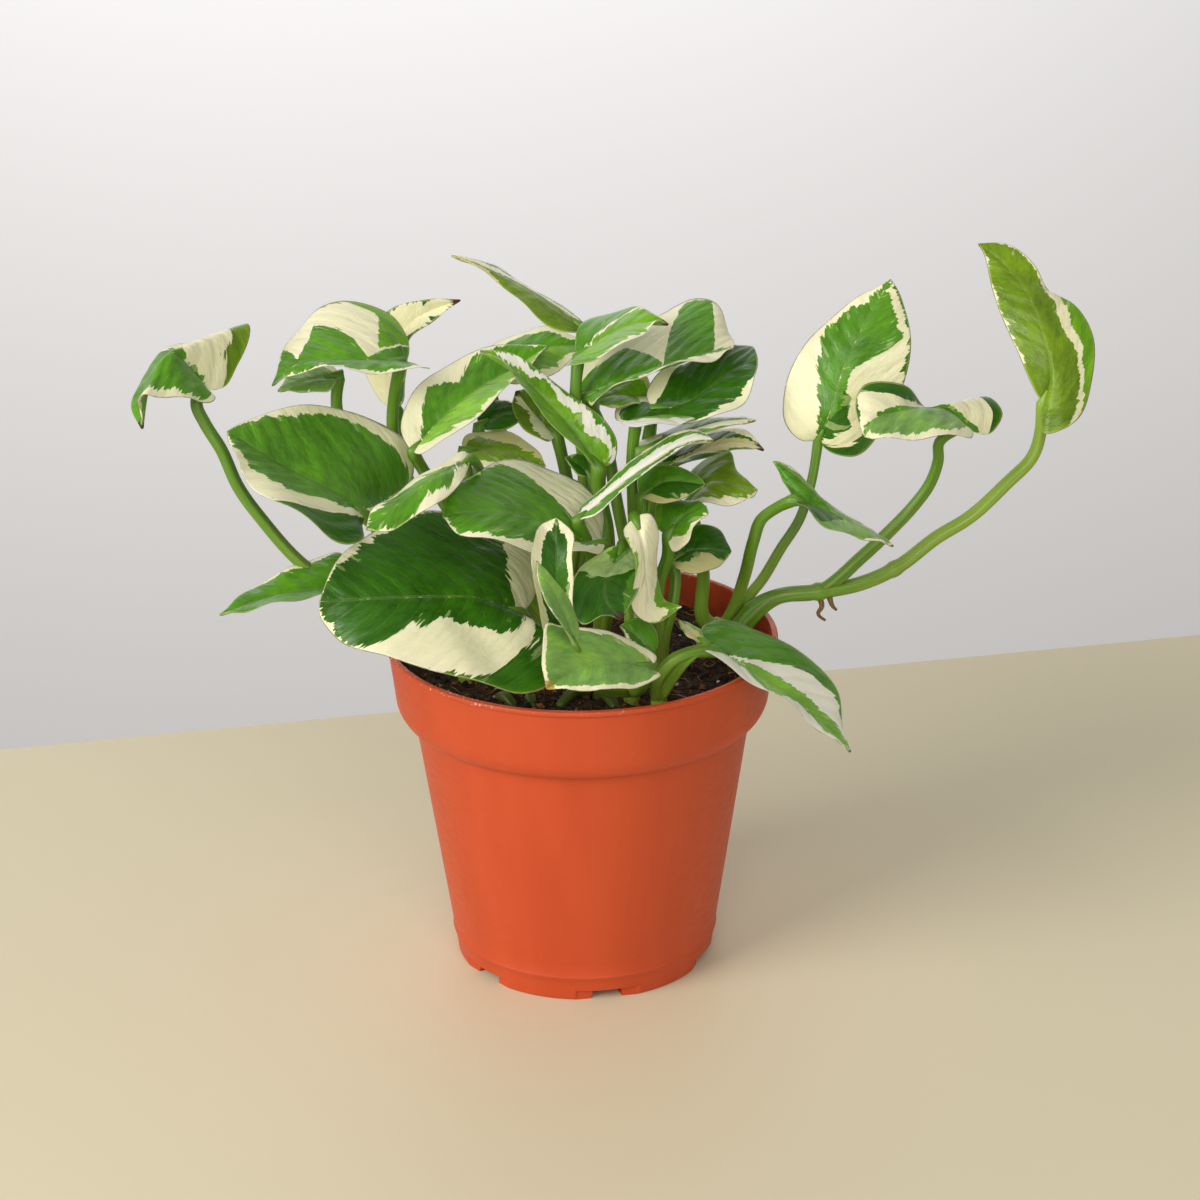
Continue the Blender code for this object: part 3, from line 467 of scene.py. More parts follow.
def mix(tree, factor, a, b, blend="MIX"):
    """Two colours mixed by a factor, each a socket or a colour."""
    made = tree.nodes.new("ShaderNodeMix")
    made.data_type = "RGBA"
    made.blend_type = blend
    for index, value in ((0, factor), (6, a), (7, b)):
        if hasattr(value, "is_linked"):
            tree.links.new(value, made.inputs[index])
        else:
            made.inputs[index].default_value = value
    return made.outputs[2]


def noise(tree, vector, scale, detail=2.0, rough=0.5):
    """Fractal noise from 0 to 1 over a vector."""
    made = node(tree, "ShaderNodeTexNoise", [(0, vector)])
    made.inputs["Scale"].default_value = scale
    made.inputs["Detail"].default_value = detail
    made.inputs["Roughness"].default_value = rough
    return made.outputs[0]


def stretched(tree, vector, x, y, z=1.0):
    """A vector with each part scaled."""
    return node(tree, "ShaderNodeMapping", [(0, vector)], in_3=(x, y, z)).outputs[0]


def bump(tree, height, distance, strength=1.0, under=None):
    """A bump of a height, given in millimetres of relief, on another bump if one is given."""
    made = node(tree, "ShaderNodeBump", [("Height", height)])
    made.inputs["Strength"].default_value = strength
    made.inputs["Distance"].default_value = distance * MM
    if under:
        tree.links.new(under, made.inputs["Normal"])
    return made.outputs[0]


def leaf_blade_material():
    """Living leaf: waxy skin over chlorophyll tissue, green where it has it and cream where it hasn't.

    The ragged edges of the bands come from noise that is 2 mm wide across the veins and long along them.
    """
    made, tree, shader = new_material("waxy_leaf_skin")
    uv = node(tree, "ShaderNodeUVMap", uv_map="veins").outputs[0]
    place = node(tree, "ShaderNodeSeparateXYZ", [(0, uv)])
    vein, out = place.outputs[0], math_node(tree, "ABSOLUTE", place.outputs[1])
    zones = node(tree, "ShaderNodeAttribute", attribute_name="zones").outputs["Vector"]
    zone = node(tree, "ShaderNodeSeparateXYZ", [(0, zones)]).outputs
    facts = node(tree, "ShaderNodeAttribute", attribute_name="facts").outputs["Vector"]
    fact = node(tree, "ShaderNodeSeparateXYZ", [(0, facts)]).outputs
    tones = [node(tree, "ShaderNodeAttribute", attribute_name="tone_" + str(k)).outputs["Color"] for k in (1, 2, 3, 4)]
    brown = node(tree, "ShaderNodeAttribute", attribute_name="brown")
    under = brown.outputs["Alpha"]

    ragged = math_node(tree, "SUBTRACT", noise(tree, stretched(tree, uv, 0.19, 0.035), 1.0, 4.0, 0.66), 0.5)
    fine = math_node(tree, "SUBTRACT", noise(tree, stretched(tree, uv, 0.9, 0.16), 1.0, 3.0, 0.65), 0.5)
    jag = math_node(tree, "MULTIPLY", ragged, 12.0)
    jag = math_node(tree, "ADD", jag, math_node(tree, "MULTIPLY", fine, 3.0))
    colour = tones[0]
    nearest = 50.0
    for k in range(3):
        edge = math_node(tree, "ADD", zone[k], jag)
        colour = mix(tree, ramp(tree, edge, -0.14, 0.14), colour, tones[k + 1])
        nearest = math_node(tree, "MINIMUM", nearest, math_node(tree, "ABSOLUTE", edge))

    split = node(tree, "ShaderNodeSeparateColor", [(0, colour)])
    creamy = ramp(tree, split.outputs[0], 0.42, 0.6)
    green = math_node(tree, "SUBTRACT", 1.0, creamy)

    sector = noise(tree, stretched(tree, uv, 0.26, 0.09), 1.0, 4.0, 0.6)
    sector = math_node(tree, "MULTIPLY", ramp(tree, sector, 0.60, 0.615), ramp(tree, nearest, 4.0, 3.2))
    half_green = mix(tree, 0.5, colour, linear("#B9CC8C"))
    colour = mix(tree, math_node(tree, "MULTIPLY", sector, green), colour, half_green)

    patches = noise(tree, stretched(tree, uv, 0.085, 0.11), 1.0, 4.0, 0.6)
    cells = noise(tree, stretched(tree, uv, 0.6, 0.55), 1.0, 4.0, 0.65)
    streaks = noise(tree, stretched(tree, uv, 1.5, 0.07), 1.0, 3.0, 0.6)
    shade = ramp(tree, patches, 0.28, 0.72, 0.72, 1.30)
    shade = math_node(tree, "MULTIPLY", shade, ramp(tree, streaks, 0.25, 0.75, 0.96, 1.04))
    shade = math_node(tree, "MULTIPLY", shade, ramp(tree, cells, 0.3, 0.7, 0.88, 1.12))
    soft = math_node(tree, "ADD", math_node(tree, "MULTIPLY", math_node(tree, "SUBTRACT", shade, 1.0), green), 1.0)
    grey = node(tree, "ShaderNodeCombineColor", [(0, soft), (1, soft), (2, soft)]).outputs[0]
    colour = mix(tree, 1.0, colour, grey, "MULTIPLY")

    yellow = math_node(tree, "MULTIPLY", ramp(tree, patches, 0.48, 0.7, 0.0, 0.42), green)
    colour = mix(tree, yellow, colour, mix(tree, 1.0, colour, linear("#FFF03C"), "MULTIPLY"))
    flecks = noise(tree, stretched(tree, uv, 0.9, 0.7), 1.0, 4.0, 0.7)
    flecks = math_node(tree, "MULTIPLY", ramp(tree, flecks, 0.64, 0.74, 0.0, 0.28), green)
    colour = mix(tree, flecks, colour, linear("#9DBB4E"))
    tinted = math_node(tree, "MULTIPLY", ramp(tree, streaks, 0.52, 0.8), math_node(tree, "MULTIPLY", creamy, 0.2))
    colour = mix(tree, tinted, colour, linear("#D3DA92"))

    wander = math_node(tree, "MULTIPLY", math_node(tree, "SUBTRACT", patches, 0.5), 5.0)
    phase = math_node(tree, "MULTIPLY", math_node(tree, "ADD", vein, wander), 1 / VEIN_GAP)
    off = math_node(tree, "ABSOLUTE", math_node(tree, "SUBTRACT", math_node(tree, "FRACT", phase), 0.5))
    inner = ramp(tree, fact[0], 0.5, 5.0)
    side_vein = math_node(tree, "MULTIPLY", ramp(tree, off, 0.44, 0.5), inner)
    rib = math_node(tree, "MULTIPLY", ramp(tree, out, 0.55, 0.2), ramp(tree, fact[0], 1.0, 12.0))
    pale = math_node(tree, "MAXIMUM", math_node(tree, "MULTIPLY", side_vein, 0.10), math_node(tree, "MULTIPLY", rib, 0.45))
    colour = mix(tree, math_node(tree, "MULTIPLY", pale, green), colour, linear("#97B857"))

    rim = math_node(tree, "MULTIPLY", ramp(tree, fact[0], 0.55, 0.3), green)
    colour = mix(tree, math_node(tree, "MULTIPLY", rim, 0.5), colour, linear("#CBD58C"))
    border = math_node(tree, "MULTIPLY", ramp(tree, fact[0], 0.26, 0.14), ramp(tree, ragged, -0.08, 0.02, 0.15, 0.8))
    colour = mix(tree, border, colour, linear("#4C4A1C"))
    colour = mix(tree, math_node(tree, "MULTIPLY", under, 0.30), colour, linear("#9DB877"))
    dry = math_node(tree, "ADD", fact[1], math_node(tree, "MULTIPLY", ragged, 5.0))
    colour = mix(tree, ramp(tree, dry, -0.6, 0.5), colour, brown.outputs["Color"])
    tree.links.new(colour, shader.inputs["Base Color"])

    rough = math_node(tree, "ADD", ramp(tree, patches, 0.2, 0.8, 0.24, 0.38), math_node(tree, "MULTIPLY", under, 0.25))
    tree.links.new(rough, shader.inputs["Roughness"])
    quilt = math_node(tree, "MULTIPLY", ramp(tree, off, 0.5, 0.15), inner)
    folds = noise(tree, stretched(tree, uv, 0.28, 0.24), 1.0, 3.0, 0.55)
    relief = math_node(tree, "ADD", math_node(tree, "MULTIPLY", quilt, 0.35), math_node(tree, "MULTIPLY", folds, 1.6))
    wide = bump(tree, relief, 0.5, 0.6)
    skin = math_node(tree, "ADD", math_node(tree, "MULTIPLY", streaks, 0.3), math_node(tree, "MULTIPLY", cells, 1.1))
    skin = math_node(tree, "SUBTRACT", skin, math_node(tree, "MULTIPLY", rib, 0.8))
    tree.links.new(bump(tree, skin, 0.16, 0.8, wide), shader.inputs["Normal"])
    shader.inputs["IOR"].default_value = 1.42
    shader.inputs["Subsurface Weight"].default_value = 0.3
    shader.inputs["Subsurface Radius"].default_value = (0.7, 1.0, 0.2)
    shader.inputs["Subsurface Scale"].default_value = 1.3 * MM
    return made


def stalk_material():
    """Leaf stalk: smooth waxy rind, streaked along its length, dry and brown on the edges of its sheath."""
    made, tree, shader = new_material("leaf_stalk_rind")
    uv = node(tree, "ShaderNodeUVMap", uv_map="along").outputs[0]
    place = node(tree, "ShaderNodeSeparateXYZ", [(0, uv)])
    foot = node(tree, "ShaderNodeAttribute", attribute_name="foot_tone")
    head = node(tree, "ShaderNodeAttribute", attribute_name="head_tone").outputs["Color"]
    share = math_node(tree, "DIVIDE", place.outputs[1], foot.outputs["Alpha"])
    colour = mix(tree, ramp(tree, share, 0.05, 0.75), foot.outputs["Color"], head)
    streaks = noise(tree, stretched(tree, uv, 0.09, 0.06), 1.0, 3.0, 0.6)
    colour = mix(tree, ramp(tree, streaks, 0.42, 0.75, 0.0, 0.5), colour, linear("#4F7A22"))
    colour = mix(tree, ramp(tree, streaks, 0.45, 0.2, 0.0, 0.45), colour, linear("#C6D289"))
    off = math_node(tree, "ABSOLUTE", math_node(tree, "SUBTRACT", place.outputs[0], 38.0))
    edge = math_node(tree, "MULTIPLY", ramp(tree, off, 11.0, 4.0), ramp(tree, share, 0.9, 0.6))
    ragged = noise(tree, stretched(tree, uv, 0.02, 0.25), 1.0, 3.0)
    colour = mix(tree, math_node(tree, "MULTIPLY", edge, ramp(tree, ragged, 0.4, 0.6, 0.15, 0.7)), colour, linear("#8A7A3C"))
    tree.links.new(colour, shader.inputs["Base Color"])
    tree.links.new(bump(tree, streaks, 0.15, 0.6), shader.inputs["Normal"])
    shader.inputs["Roughness"].default_value = 0.38
    shader.inputs["Subsurface Weight"].default_value = 0.12
    shader.inputs["Subsurface Radius"].default_value = (0.6, 1.0, 0.25)
    shader.inputs["Subsurface Scale"].default_value = 1.5 * MM
    return made


def pot_material():
    """Injection-moulded polypropylene, satin, with faint flow streaks, painted shade in blotches down the inner wall
    towards the soil, and fine scuffs.
    """
    made, tree, shader = new_material("moulded_polypropylene")
    place = node(tree, "ShaderNodeTexCoord").outputs["Object"]
    part = node(tree, "ShaderNodeSeparateXYZ", [(0, place)])
    flow = noise(tree, stretched(tree, place, 60.0, 60.0, 12.0), 1.0, 3.0)
    colour = mix(tree, ramp(tree, flow, 0.3, 0.7), linear("#C04519"), linear("#C94B1F"))
    specks = noise(tree, place, 900.0, 2.0, 0.6)
    colour = mix(tree, ramp(tree, specks, 0.72, 0.78, 0.0, 0.25), colour, linear("#E89A78"))
    # Painted shade: the inner wall above the soil is darkened towards the soil, broken into blotches by noise.
    inside = node(tree, "ShaderNodeAttribute", attribute_name="inside").outputs["Fac"]
    inner_blotches = noise(tree, place, 260.0, 4.0, 0.65)
    low = ramp(tree, part.outputs[2], 0.091, 0.084)
    inner_wall_shade = math_node(tree, "MULTIPLY", inside, ramp(tree, inner_blotches, 0.35, 0.7, 0.15, 0.75))
    inner_wall_shade = math_node(tree, "MULTIPLY", inner_wall_shade, low)
    colour = mix(tree, inner_wall_shade, colour, linear("#5A2413"))
    crumbs = noise(tree, place, 1100.0, 2.0, 0.6)
    crumbs = math_node(tree, "MULTIPLY", ramp(tree, crumbs, 0.60, 0.66), ramp(tree, part.outputs[2], 0.0914, 0.0922))
    crumbs = math_node(tree, "MULTIPLY", crumbs, ramp(tree, noise(tree, place, 40.0, 2.0), 0.45, 0.6, 0.1, 0.8))
    colour = mix(tree, crumbs, colour, linear("#EFC9B4"))
    tree.links.new(colour, shader.inputs["Base Color"])
    scuffs = noise(tree, stretched(tree, place, 240.0, 240.0, 900.0), 1.0, 3.0, 0.6)
    tree.links.new(ramp(tree, scuffs, 0.3, 0.8, 0.42, 0.56), shader.inputs["Roughness"])
    grain = noise(tree, place, 1400.0, 2.0)
    tree.links.new(bump(tree, grain, 0.03, 0.5), shader.inputs["Normal"])
    shader.inputs["IOR"].default_value = 1.49
    shader.inputs["Subsurface Weight"].default_value = 0.05
    shader.inputs["Subsurface Scale"].default_value = 1.0 * MM
    return made


def soil_material():
    """Damp peat mix: dark brown crumbs, blotched where it has dried."""
    made, tree, shader = new_material("damp_peat_mix")
    place = node(tree, "ShaderNodeTexCoord").outputs["Object"]
    crumbs = noise(tree, place, 700.0, 4.0, 0.7)
    damp = noise(tree, place, 90.0, 2.0)
    colour = mix(tree, ramp(tree, crumbs, 0.35, 0.7), linear("#1C110A"), linear("#59381F"))
    colour = mix(tree, ramp(tree, damp, 0.5, 0.75, 0.0, 0.45), colour, linear("#5E3A20"))
    tree.links.new(colour, shader.inputs["Base Color"])
    tree.links.new(bump(tree, crumbs, 0.9, 1.0), shader.inputs["Normal"])
    shader.inputs["Roughness"].default_value = 0.9
    return made


def grain_material():
    """Bark crumbs, coir fibres and expanded perlite, each grain in its own tone."""
    made, tree, shader = new_material("bark_and_perlite_grains")
    tone = node(tree, "ShaderNodeAttribute", attribute_name="tone").outputs["Color"]
    place = node(tree, "ShaderNodeTexCoord").outputs["Object"]
    rough = noise(tree, place, 1500.0, 3.0, 0.6)
    tree.links.new(mix(tree, ramp(tree, rough, 0.3, 0.7, 0.0, 0.5), tone, linear("#120A06")), shader.inputs["Base Color"])
    tree.links.new(bump(tree, rough, 0.3, 0.8), shader.inputs["Normal"])
    shader.inputs["Roughness"].default_value = 0.85
    return made


def plain_material(name, code, rough, specks):
    """A painted surface with a faint cloudy change of tone."""
    made, tree, shader = new_material(name)
    place = node(tree, "ShaderNodeTexCoord").outputs["Object"]
    cloud = noise(tree, place, specks, 2.0)
    colour = linear(code)
    paler = tuple(min(1.0, c * 1.03) for c in colour[:3]) + (1.0,)
    tree.links.new(mix(tree, cloud, colour, paler), shader.inputs["Base Color"])
    shader.inputs["Roughness"].default_value = rough
    return made


def body_radius(z):
    """Outer radius of the tapered body at a height."""
    return FOOT_RADIUS + (BODY_TOP_RADIUS - FOOT_RADIUS) * z / BODY_TOP_Z


def shoulder(inset, rise, steps):
    """Quarter of an ellipse from the top of the body out and up to the foot of the collar."""
    a = np.linspace(0, math.pi / 2, steps)
    r = BODY_TOP_RADIUS - inset + (COLLAR_LOW_RADIUS - BODY_TOP_RADIUS) * np.sin(a)
    return np.stack([r, COLLAR_LOW_Z + rise - (COLLAR_LOW_Z - BODY_TOP_Z) * np.cos(a)], -1)


def quarter(centre, radius, start, steps=5):
    """Quarter of a circle as radius and height pairs, from an angle in degrees onwards, turning left."""
    a = np.radians(np.linspace(start, start + 90, steps))
    return np.stack([centre[0] + radius * np.cos(a), centre[1] + radius * np.sin(a)], -1)


def pot_profile():
    """Closed outline of the wall, from the middle under the foot, up the outside and down the inside."""
    lip_low = POT_HEIGHT - LIP_DEPTH
    foot = [(0.0, 0.0), (16.0, 0.0), (17.9, 0.0), (18.3, 0.0), (26.0, 0.0), (34.0, 0.0)]
    heights = [0.9, 1.6, 2.2, 2.48, 2.52, 2.98, 3.02, 4.5, 6.4]
    low = [(body_radius(z), z) for z in heights]
    ring = [(RING_RADIUS - 0.15, RING_Z - 0.35), (RING_RADIUS, RING_Z), (RING_RADIUS - 0.1, RING_Z + 0.35)]
    body = [(body_radius(z), z) for z in (7.9, 12.0, 25.0, 40.0, 55.0, 66.0, 69.5)]
    inner = np.array([(COLLAR_TOP_RADIUS - WALL, lip_low), (COLLAR_LOW_RADIUS - WALL + 0.3, COLLAR_LOW_Z + 3)])
    floor_radius = body_radius(FLOOR) - WALL
    return np.concatenate([
        foot, quarter((FOOT_RADIUS - 0.5, 0.5), 0.5, -90), low, ring, body, shoulder(0, 0, 12),
        [(COLLAR_TOP_RADIUS - 0.25, lip_low - 1.8), (COLLAR_TOP_RADIUS - 0.3, lip_low - 0.1)],
        quarter((RIM_RADIUS, lip_low + 0.3), 0.3, -90),
        quarter((RIM_RADIUS - 0.25, POT_HEIGHT - 0.55), 0.55, 0),
        quarter((LIP_INNER_RADIUS + 0.35, POT_HEIGHT - 0.35), 0.35, 90),
        inner, shoulder(WALL, 0.9, 8)[::-1],
        [(floor_radius, FLOOR + 3), (floor_radius - 0.8, FLOOR + 0.9), (floor_radius - 3, FLOOR), (0.0, FLOOR)],
    ])


def lathe(name, profile, columns, slot, shift=None):
    """Turns an outline, whose first and last points lie on the axis, and moves its points by a function."""
    turn = np.arange(columns) * 2 * math.pi / columns
    r = np.repeat(profile[1:-1, 0][:, None], columns, 1)
    z = np.repeat(profile[1:-1, 1][:, None], columns, 1)
    a = np.broadcast_to(turn, r.shape)
    if shift:
        r, z = shift(r, z, a)
    points = np.stack([r * np.cos(a), r * np.sin(a), z], -1).reshape(-1, 3)
    rows = len(r)
    ends = [(0.0, 0.0, profile[0, 1]), (0.0, 0.0, profile[-1, 1])]
    i, j = np.meshgrid(np.arange(rows - 1), np.arange(columns), indexing="ij")
    k = (j + 1) % columns
    quads = np.stack([i * columns + j, i * columns + k, (i + 1) * columns + k, (i + 1) * columns + j], -1)
    j = np.arange(columns)
    k = (j + 1) % columns
    low = np.stack([k, j, np.full_like(j, rows * columns)], -1)
    top = (rows - 1) * columns
    high = np.stack([top + j, top + k, np.full_like(j, rows * columns + 1)], -1)
    faces = quads.reshape(-1, 4).tolist() + low.tolist() + high.tolist()
    return make_object(name, np.concatenate([points, ends]), faces, slot)


def drain_cut(r, z, a):
    """Keeps the wall's foot within a recess, and deeper within a gap, at six places round it."""
    step = 2 * math.pi / DRAINS
    first = math.radians(DRAIN_FIRST_DEG - 90)
    off = (a - first + step / 2) % step - step / 2
    beside = np.abs(r * np.sin(off))
    recess = (beside < DRAIN_WIDTH / 2) & (z < DRAIN_HEIGHT)
    gap = (beside < DRAIN_GAP_WIDTH / 2) & (z < DRAIN_GAP_HEIGHT)
    r = np.where(recess, np.minimum(r, DRAIN_DEPTH_RADIUS / np.cos(off)), r)
    return np.where(gap, np.minimum(r, DRAIN_GAP_RADIUS / np.cos(off)), r), z


def make_pot():
    """The pot, turned fine enough for its lip and shoulder to read as round."""
    pot = lathe("nursery_pot", pot_profile(), POT_COLUMNS, pot_material(), drain_cut)
    pot.data.set_sharp_from_angle(angle=math.radians(40))
    place = np.empty(len(pot.data.vertices) * 3)
    pot.data.vertices.foreach_get("co", place)
    x, y, z = place.reshape(-1, 3).T / MM
    wall = np.hypot(x, y) < COLLAR_TOP_RADIUS - WALL / 2 - 0.12 * (POT_HEIGHT - z)
    inside = (wall & (z > COLLAR_LOW_Z)).astype(float)
    pot.data.attributes.new("inside", "FLOAT", "POINT").data.foreach_set("value", inside)
    belongs(pot, "pot")


def soil_height(x, y):
    """Height of the soil surface: slow swells, crumbs about 4 mm across and finer ones on them."""
    lift = 1.6 * (lattice(x / 13 + 9, y / 13 + 9, 3) - 0.5)
    lift = lift + 1.5 * (lattice(x / 3.4 + 30, y / 3.4 + 30, 4) - 0.5)
    return SOIL_Z + lift + 0.8 * (lattice(x / 1.5 + 50, y / 1.5 + 50, 5) - 0.5)


def crumbled(r, z, a):
    """Lays the top of the soil on its uneven height."""
    height = soil_height(r * np.cos(a), r * np.sin(a))
    top = z > SOIL_Z - 0.5
    return r, np.where(top, height, z)


def make_soil():
    """The soil: a plug that keeps clear of the pot's wall, with a crumbly top."""
    wall = shoulder(WALL + 0.3, 1.2, 8)
    floor_radius = body_radius(FLOOR) - WALL - 0.3
    outline = [(0.0, FLOOR + 0.3), (floor_radius - 3, FLOOR + 0.3), (floor_radius, FLOOR + 3)]
    outline = np.concatenate([outline, wall, [(SOIL_RADIUS, SOIL_Z - 1.5)]])
    top = np.stack([np.linspace(SOIL_RADIUS, 0, 80), np.full(80, SOIL_Z)], -1)
    soil = lathe("peat_mix", np.concatenate([outline, top]), SOIL_COLUMNS, soil_material(), crumbled)
    belongs(soil, "soil")


def twenty_faces():
    """Corners and faces of a regular solid of twenty triangles."""
    g = (1 + math.sqrt(5)) / 2
    corners = np.array([(-1, g, 0), (1, g, 0), (-1, -g, 0), (1, -g, 0), (0, -1, g), (0, 1, g), (0, -1, -g),
        (0, 1, -g), (g, 0, -1), (g, 0, 1), (-g, 0, -1), (-g, 0, 1)], float)
    faces = [(0, 11, 5), (0, 5, 1), (0, 1, 7), (0, 7, 10), (0, 10, 11), (1, 5, 9), (5, 11, 4), (11, 10, 2),
        (10, 7, 6), (7, 1, 8), (3, 9, 4), (3, 4, 2), (3, 2, 6), (3, 6, 8), (3, 8, 9), (4, 9, 5), (2, 4, 11),
        (6, 2, 10), (8, 6, 7), (9, 8, 1)]
    return unit(corners), np.array(faces)


def random_turns(rng, count):
    """Random rotations, as matrices made from random unit quaternions."""
    w, x, y, z = unit(rng.normal(size=(count, 4))).T
    return np.stack([
        np.stack([1 - 2 * (y * y + z * z), 2 * (x * y - z * w), 2 * (x * z + y * w)], -1),
        np.stack([2 * (x * y + z * w), 1 - 2 * (x * x + z * z), 2 * (y * z - x * w)], -1),
        np.stack([2 * (x * z - y * w), 2 * (y * z + x * w), 1 - 2 * (x * x + y * y)], -1),
    ], 1)


def soil_places(rng, count):
    """Random places on the soil, even over its area and a little inside the wall."""
    r = (SOIL_RADIUS - 1.2) * np.sqrt(rng.random(count))
    a = rng.random(count) * 2 * math.pi
    x, y = r * np.cos(a), r * np.sin(a)
    return np.stack([x, y, soil_height(x, y)], -1)


def make_grains(slot):
    """Crumbs of bark and peat and a few of perlite: uneven solids, half sunk in the soil."""
    rng = np.random.default_rng(7)
    corners, faces = twenty_faces()
    places = soil_places(rng, GRAINS)
    size = 0.45 + 1.5 * rng.random(GRAINS) ** 3
    white = rng.random(GRAINS) < 0.035
    size = np.where(white, 0.35 + 0.5 * rng.random(GRAINS), size)
    uneven = 1 + 0.3 * (rng.random((GRAINS, len(corners), 1)) - 0.5)
    squash = np.where(white[:, None], 0.9, rng.uniform((0.6, 0.35, 0.2), (1.3, 0.9, 0.7), (GRAINS, 3)))
    shapes = corners[None] * uneven * squash[:, None] * size[:, None, None]
    shapes = np.einsum("gij,gvj->gvi", random_turns(rng, GRAINS), shapes) + places[:, None]
    ids = faces[None] + (np.arange(GRAINS) * len(corners))[:, None, None]
    grains = make_object("bark_grains", shapes.reshape(-1, 3), ids.reshape(-1, 3).tolist(), slot)
    grains.data.shade_flat()
    kinds = np.array([linear(c)[:3] for c in ("#24160D", "#452B19", "#664023", "#8C542A", "#B0743C")])
    tone = kinds[np.minimum((rng.random(GRAINS) ** 1.8 * len(kinds)).astype(int), len(kinds) - 1)]
    tone = np.where(white[:, None], linear("#E4DFD2")[:3], tone)
    tone = np.repeat(np.column_stack([tone, np.ones(GRAINS)]), len(faces) * 3, 0)
    set_corners(grains.data, "tone", "FLOAT_COLOR", tone)
    belongs(grains, "soil")


def make_fibres(slot):
    """Coir fibres: thin three-sided threads that lie on the soil in shallow arcs."""
    rng = np.random.default_rng(11)
    start = soil_places(rng, FIBRES)
    start[:, :2] *= 0.93
    turn = rng.random(FIBRES) * 2 * math.pi
    bend = rng.normal(size=FIBRES) * 0.12
    length = rng.uniform(4, 11, FIBRES)
    s = np.linspace(-0.5, 0.5, 7)
    heading = turn[:, None] + bend[:, None] * s * length[:, None]
    line = start[:, None] + np.stack([np.cos(heading), np.sin(heading), 0 * heading], -1) * (
        s[None, :] * length[:, None])[..., None]
    r = np.hypot(line[..., 0], line[..., 1])
    line[..., :2] *= np.minimum(1, (SOIL_RADIUS - 0.8) / np.maximum(r, 1e-6))[..., None]
    arch = rng.uniform(0.1, 1.4, FIBRES)
    line[..., 2] = soil_height(line[..., 0], line[..., 1]) + arch[:, None] * (1 - 4 * s**2) + 0.1
    side = np.stack([-np.sin(heading), np.cos(heading), 0 * heading], -1)
    up = np.array([0.0, 0.0, 1.0])
    thick = (0.10 + 0.16 * rng.random(FIBRES))[:, None, None] * np.sqrt(1.02 - 4 * s**2 * 0.95)[None, :, None]
    ring = [line + thick * (math.cos(a) * side + math.sin(a) * up) for a in (0.5, 2.6, 4.7)]
    verts = np.stack(ring, 2)
    i, j = np.meshgrid(np.arange(len(s) - 1), np.arange(3), indexing="ij")
    k = (j + 1) % 3
    quad = np.stack([i * 3 + j, (i + 1) * 3 + j, (i + 1) * 3 + k, i * 3 + k], -1).reshape(-1, 4)
    starts = np.arange(FIBRES) * len(s) * 3
    last = (len(s) - 1) * 3
    quads = (quad[None] + starts[:, None, None]).reshape(-1, 4)
    caps = np.array([(0, 1, 2), (last + 2, last + 1, last)])
    caps = (caps[None] + starts[:, None, None]).reshape(-1, 3)
    fibres = make_object("coir_fibres", verts.reshape(-1, 3), quads.tolist() + caps.tolist(), slot)
    kinds = np.array([linear(c)[:3] for c in ("#2A190E", "#5A3A20", "#8A5A30", "#B58A55")])
    tone = kinds[np.minimum((rng.random(FIBRES) ** 1.4 * 4).astype(int), 3)]
    tone = np.column_stack([tone, np.ones(FIBRES)])
    tones = [np.repeat(tone, len(quad) * 4, 0), np.repeat(tone, 6, 0)]
    set_corners(fibres.data, "tone", "FLOAT_COLOR", np.concatenate(tones))
    belongs(fibres, "soil")


def far_left():
    """Stem whose one leaf arches far out to the left, with a narrow low leaf under it."""
    return [
        leaf(
            stalk=[(-31, -10, 88), (-38, -12, 96), (-52, -14, 105), (-73, -14, 119), (-83, -13, 131),
                (-89, -12, 140), (-93, -11, 150), (-97, -10, 157), (-99, -9, 162), (-98, -7, 165)],
            mid=[(-100, -8, 171), (-104, -12, 177), (-109, -18, 173)],
            tip=(-112, -20, 159),
            left=[(-94, -12, 164), (-98, -18, 166), (-104, -24, 169), (-109, -28, 171)],
            right=[(-92, -4, 165), (-89, 3, 169), (-87, 12, 177), (-98, 12, 173), (-109, -2, 173),
                (-115, -14, 165)],
            bands=(
                ("mid", (50, 73, 73, 86, 88, 82, 70, 66, 66, 75, 100), "cream"),
                ("mid", (40, 33, 18, 8, 8, 38, 86, 100, 100, 100, 100), "cream",
                    (100, 90, 75, 62, 75, 100, 100, 100, 100, 100, 100), "olive"),
            ),
            brown=("#3A2A18", 2),
        ),
        leaf(
            stalk=[(-31, -10, 88), (-37, -18, 97), (-47, -22, 107), (-60, -18, 114)],
            mid=[(-76, -26, 116)],
            tip=(-93, -36, 114),
            left=[(-66, -28, 116), (-77, -38, 118), (-85, -38, 116)],
            right=[(-64, -8, 120), (-74, -14, 119), (-85, -24, 117)],
            bands=(
                ("mid", (100, 100, 100, 100, 100, 100, 100, 100, 100, 100, 100), "cream"),
                ("mid", (100, 100, 100, 95, 86, 84, 88, 92, 100, 100, 100), "cream"),
            ),
            ragged=0.5,
        ),
    ]


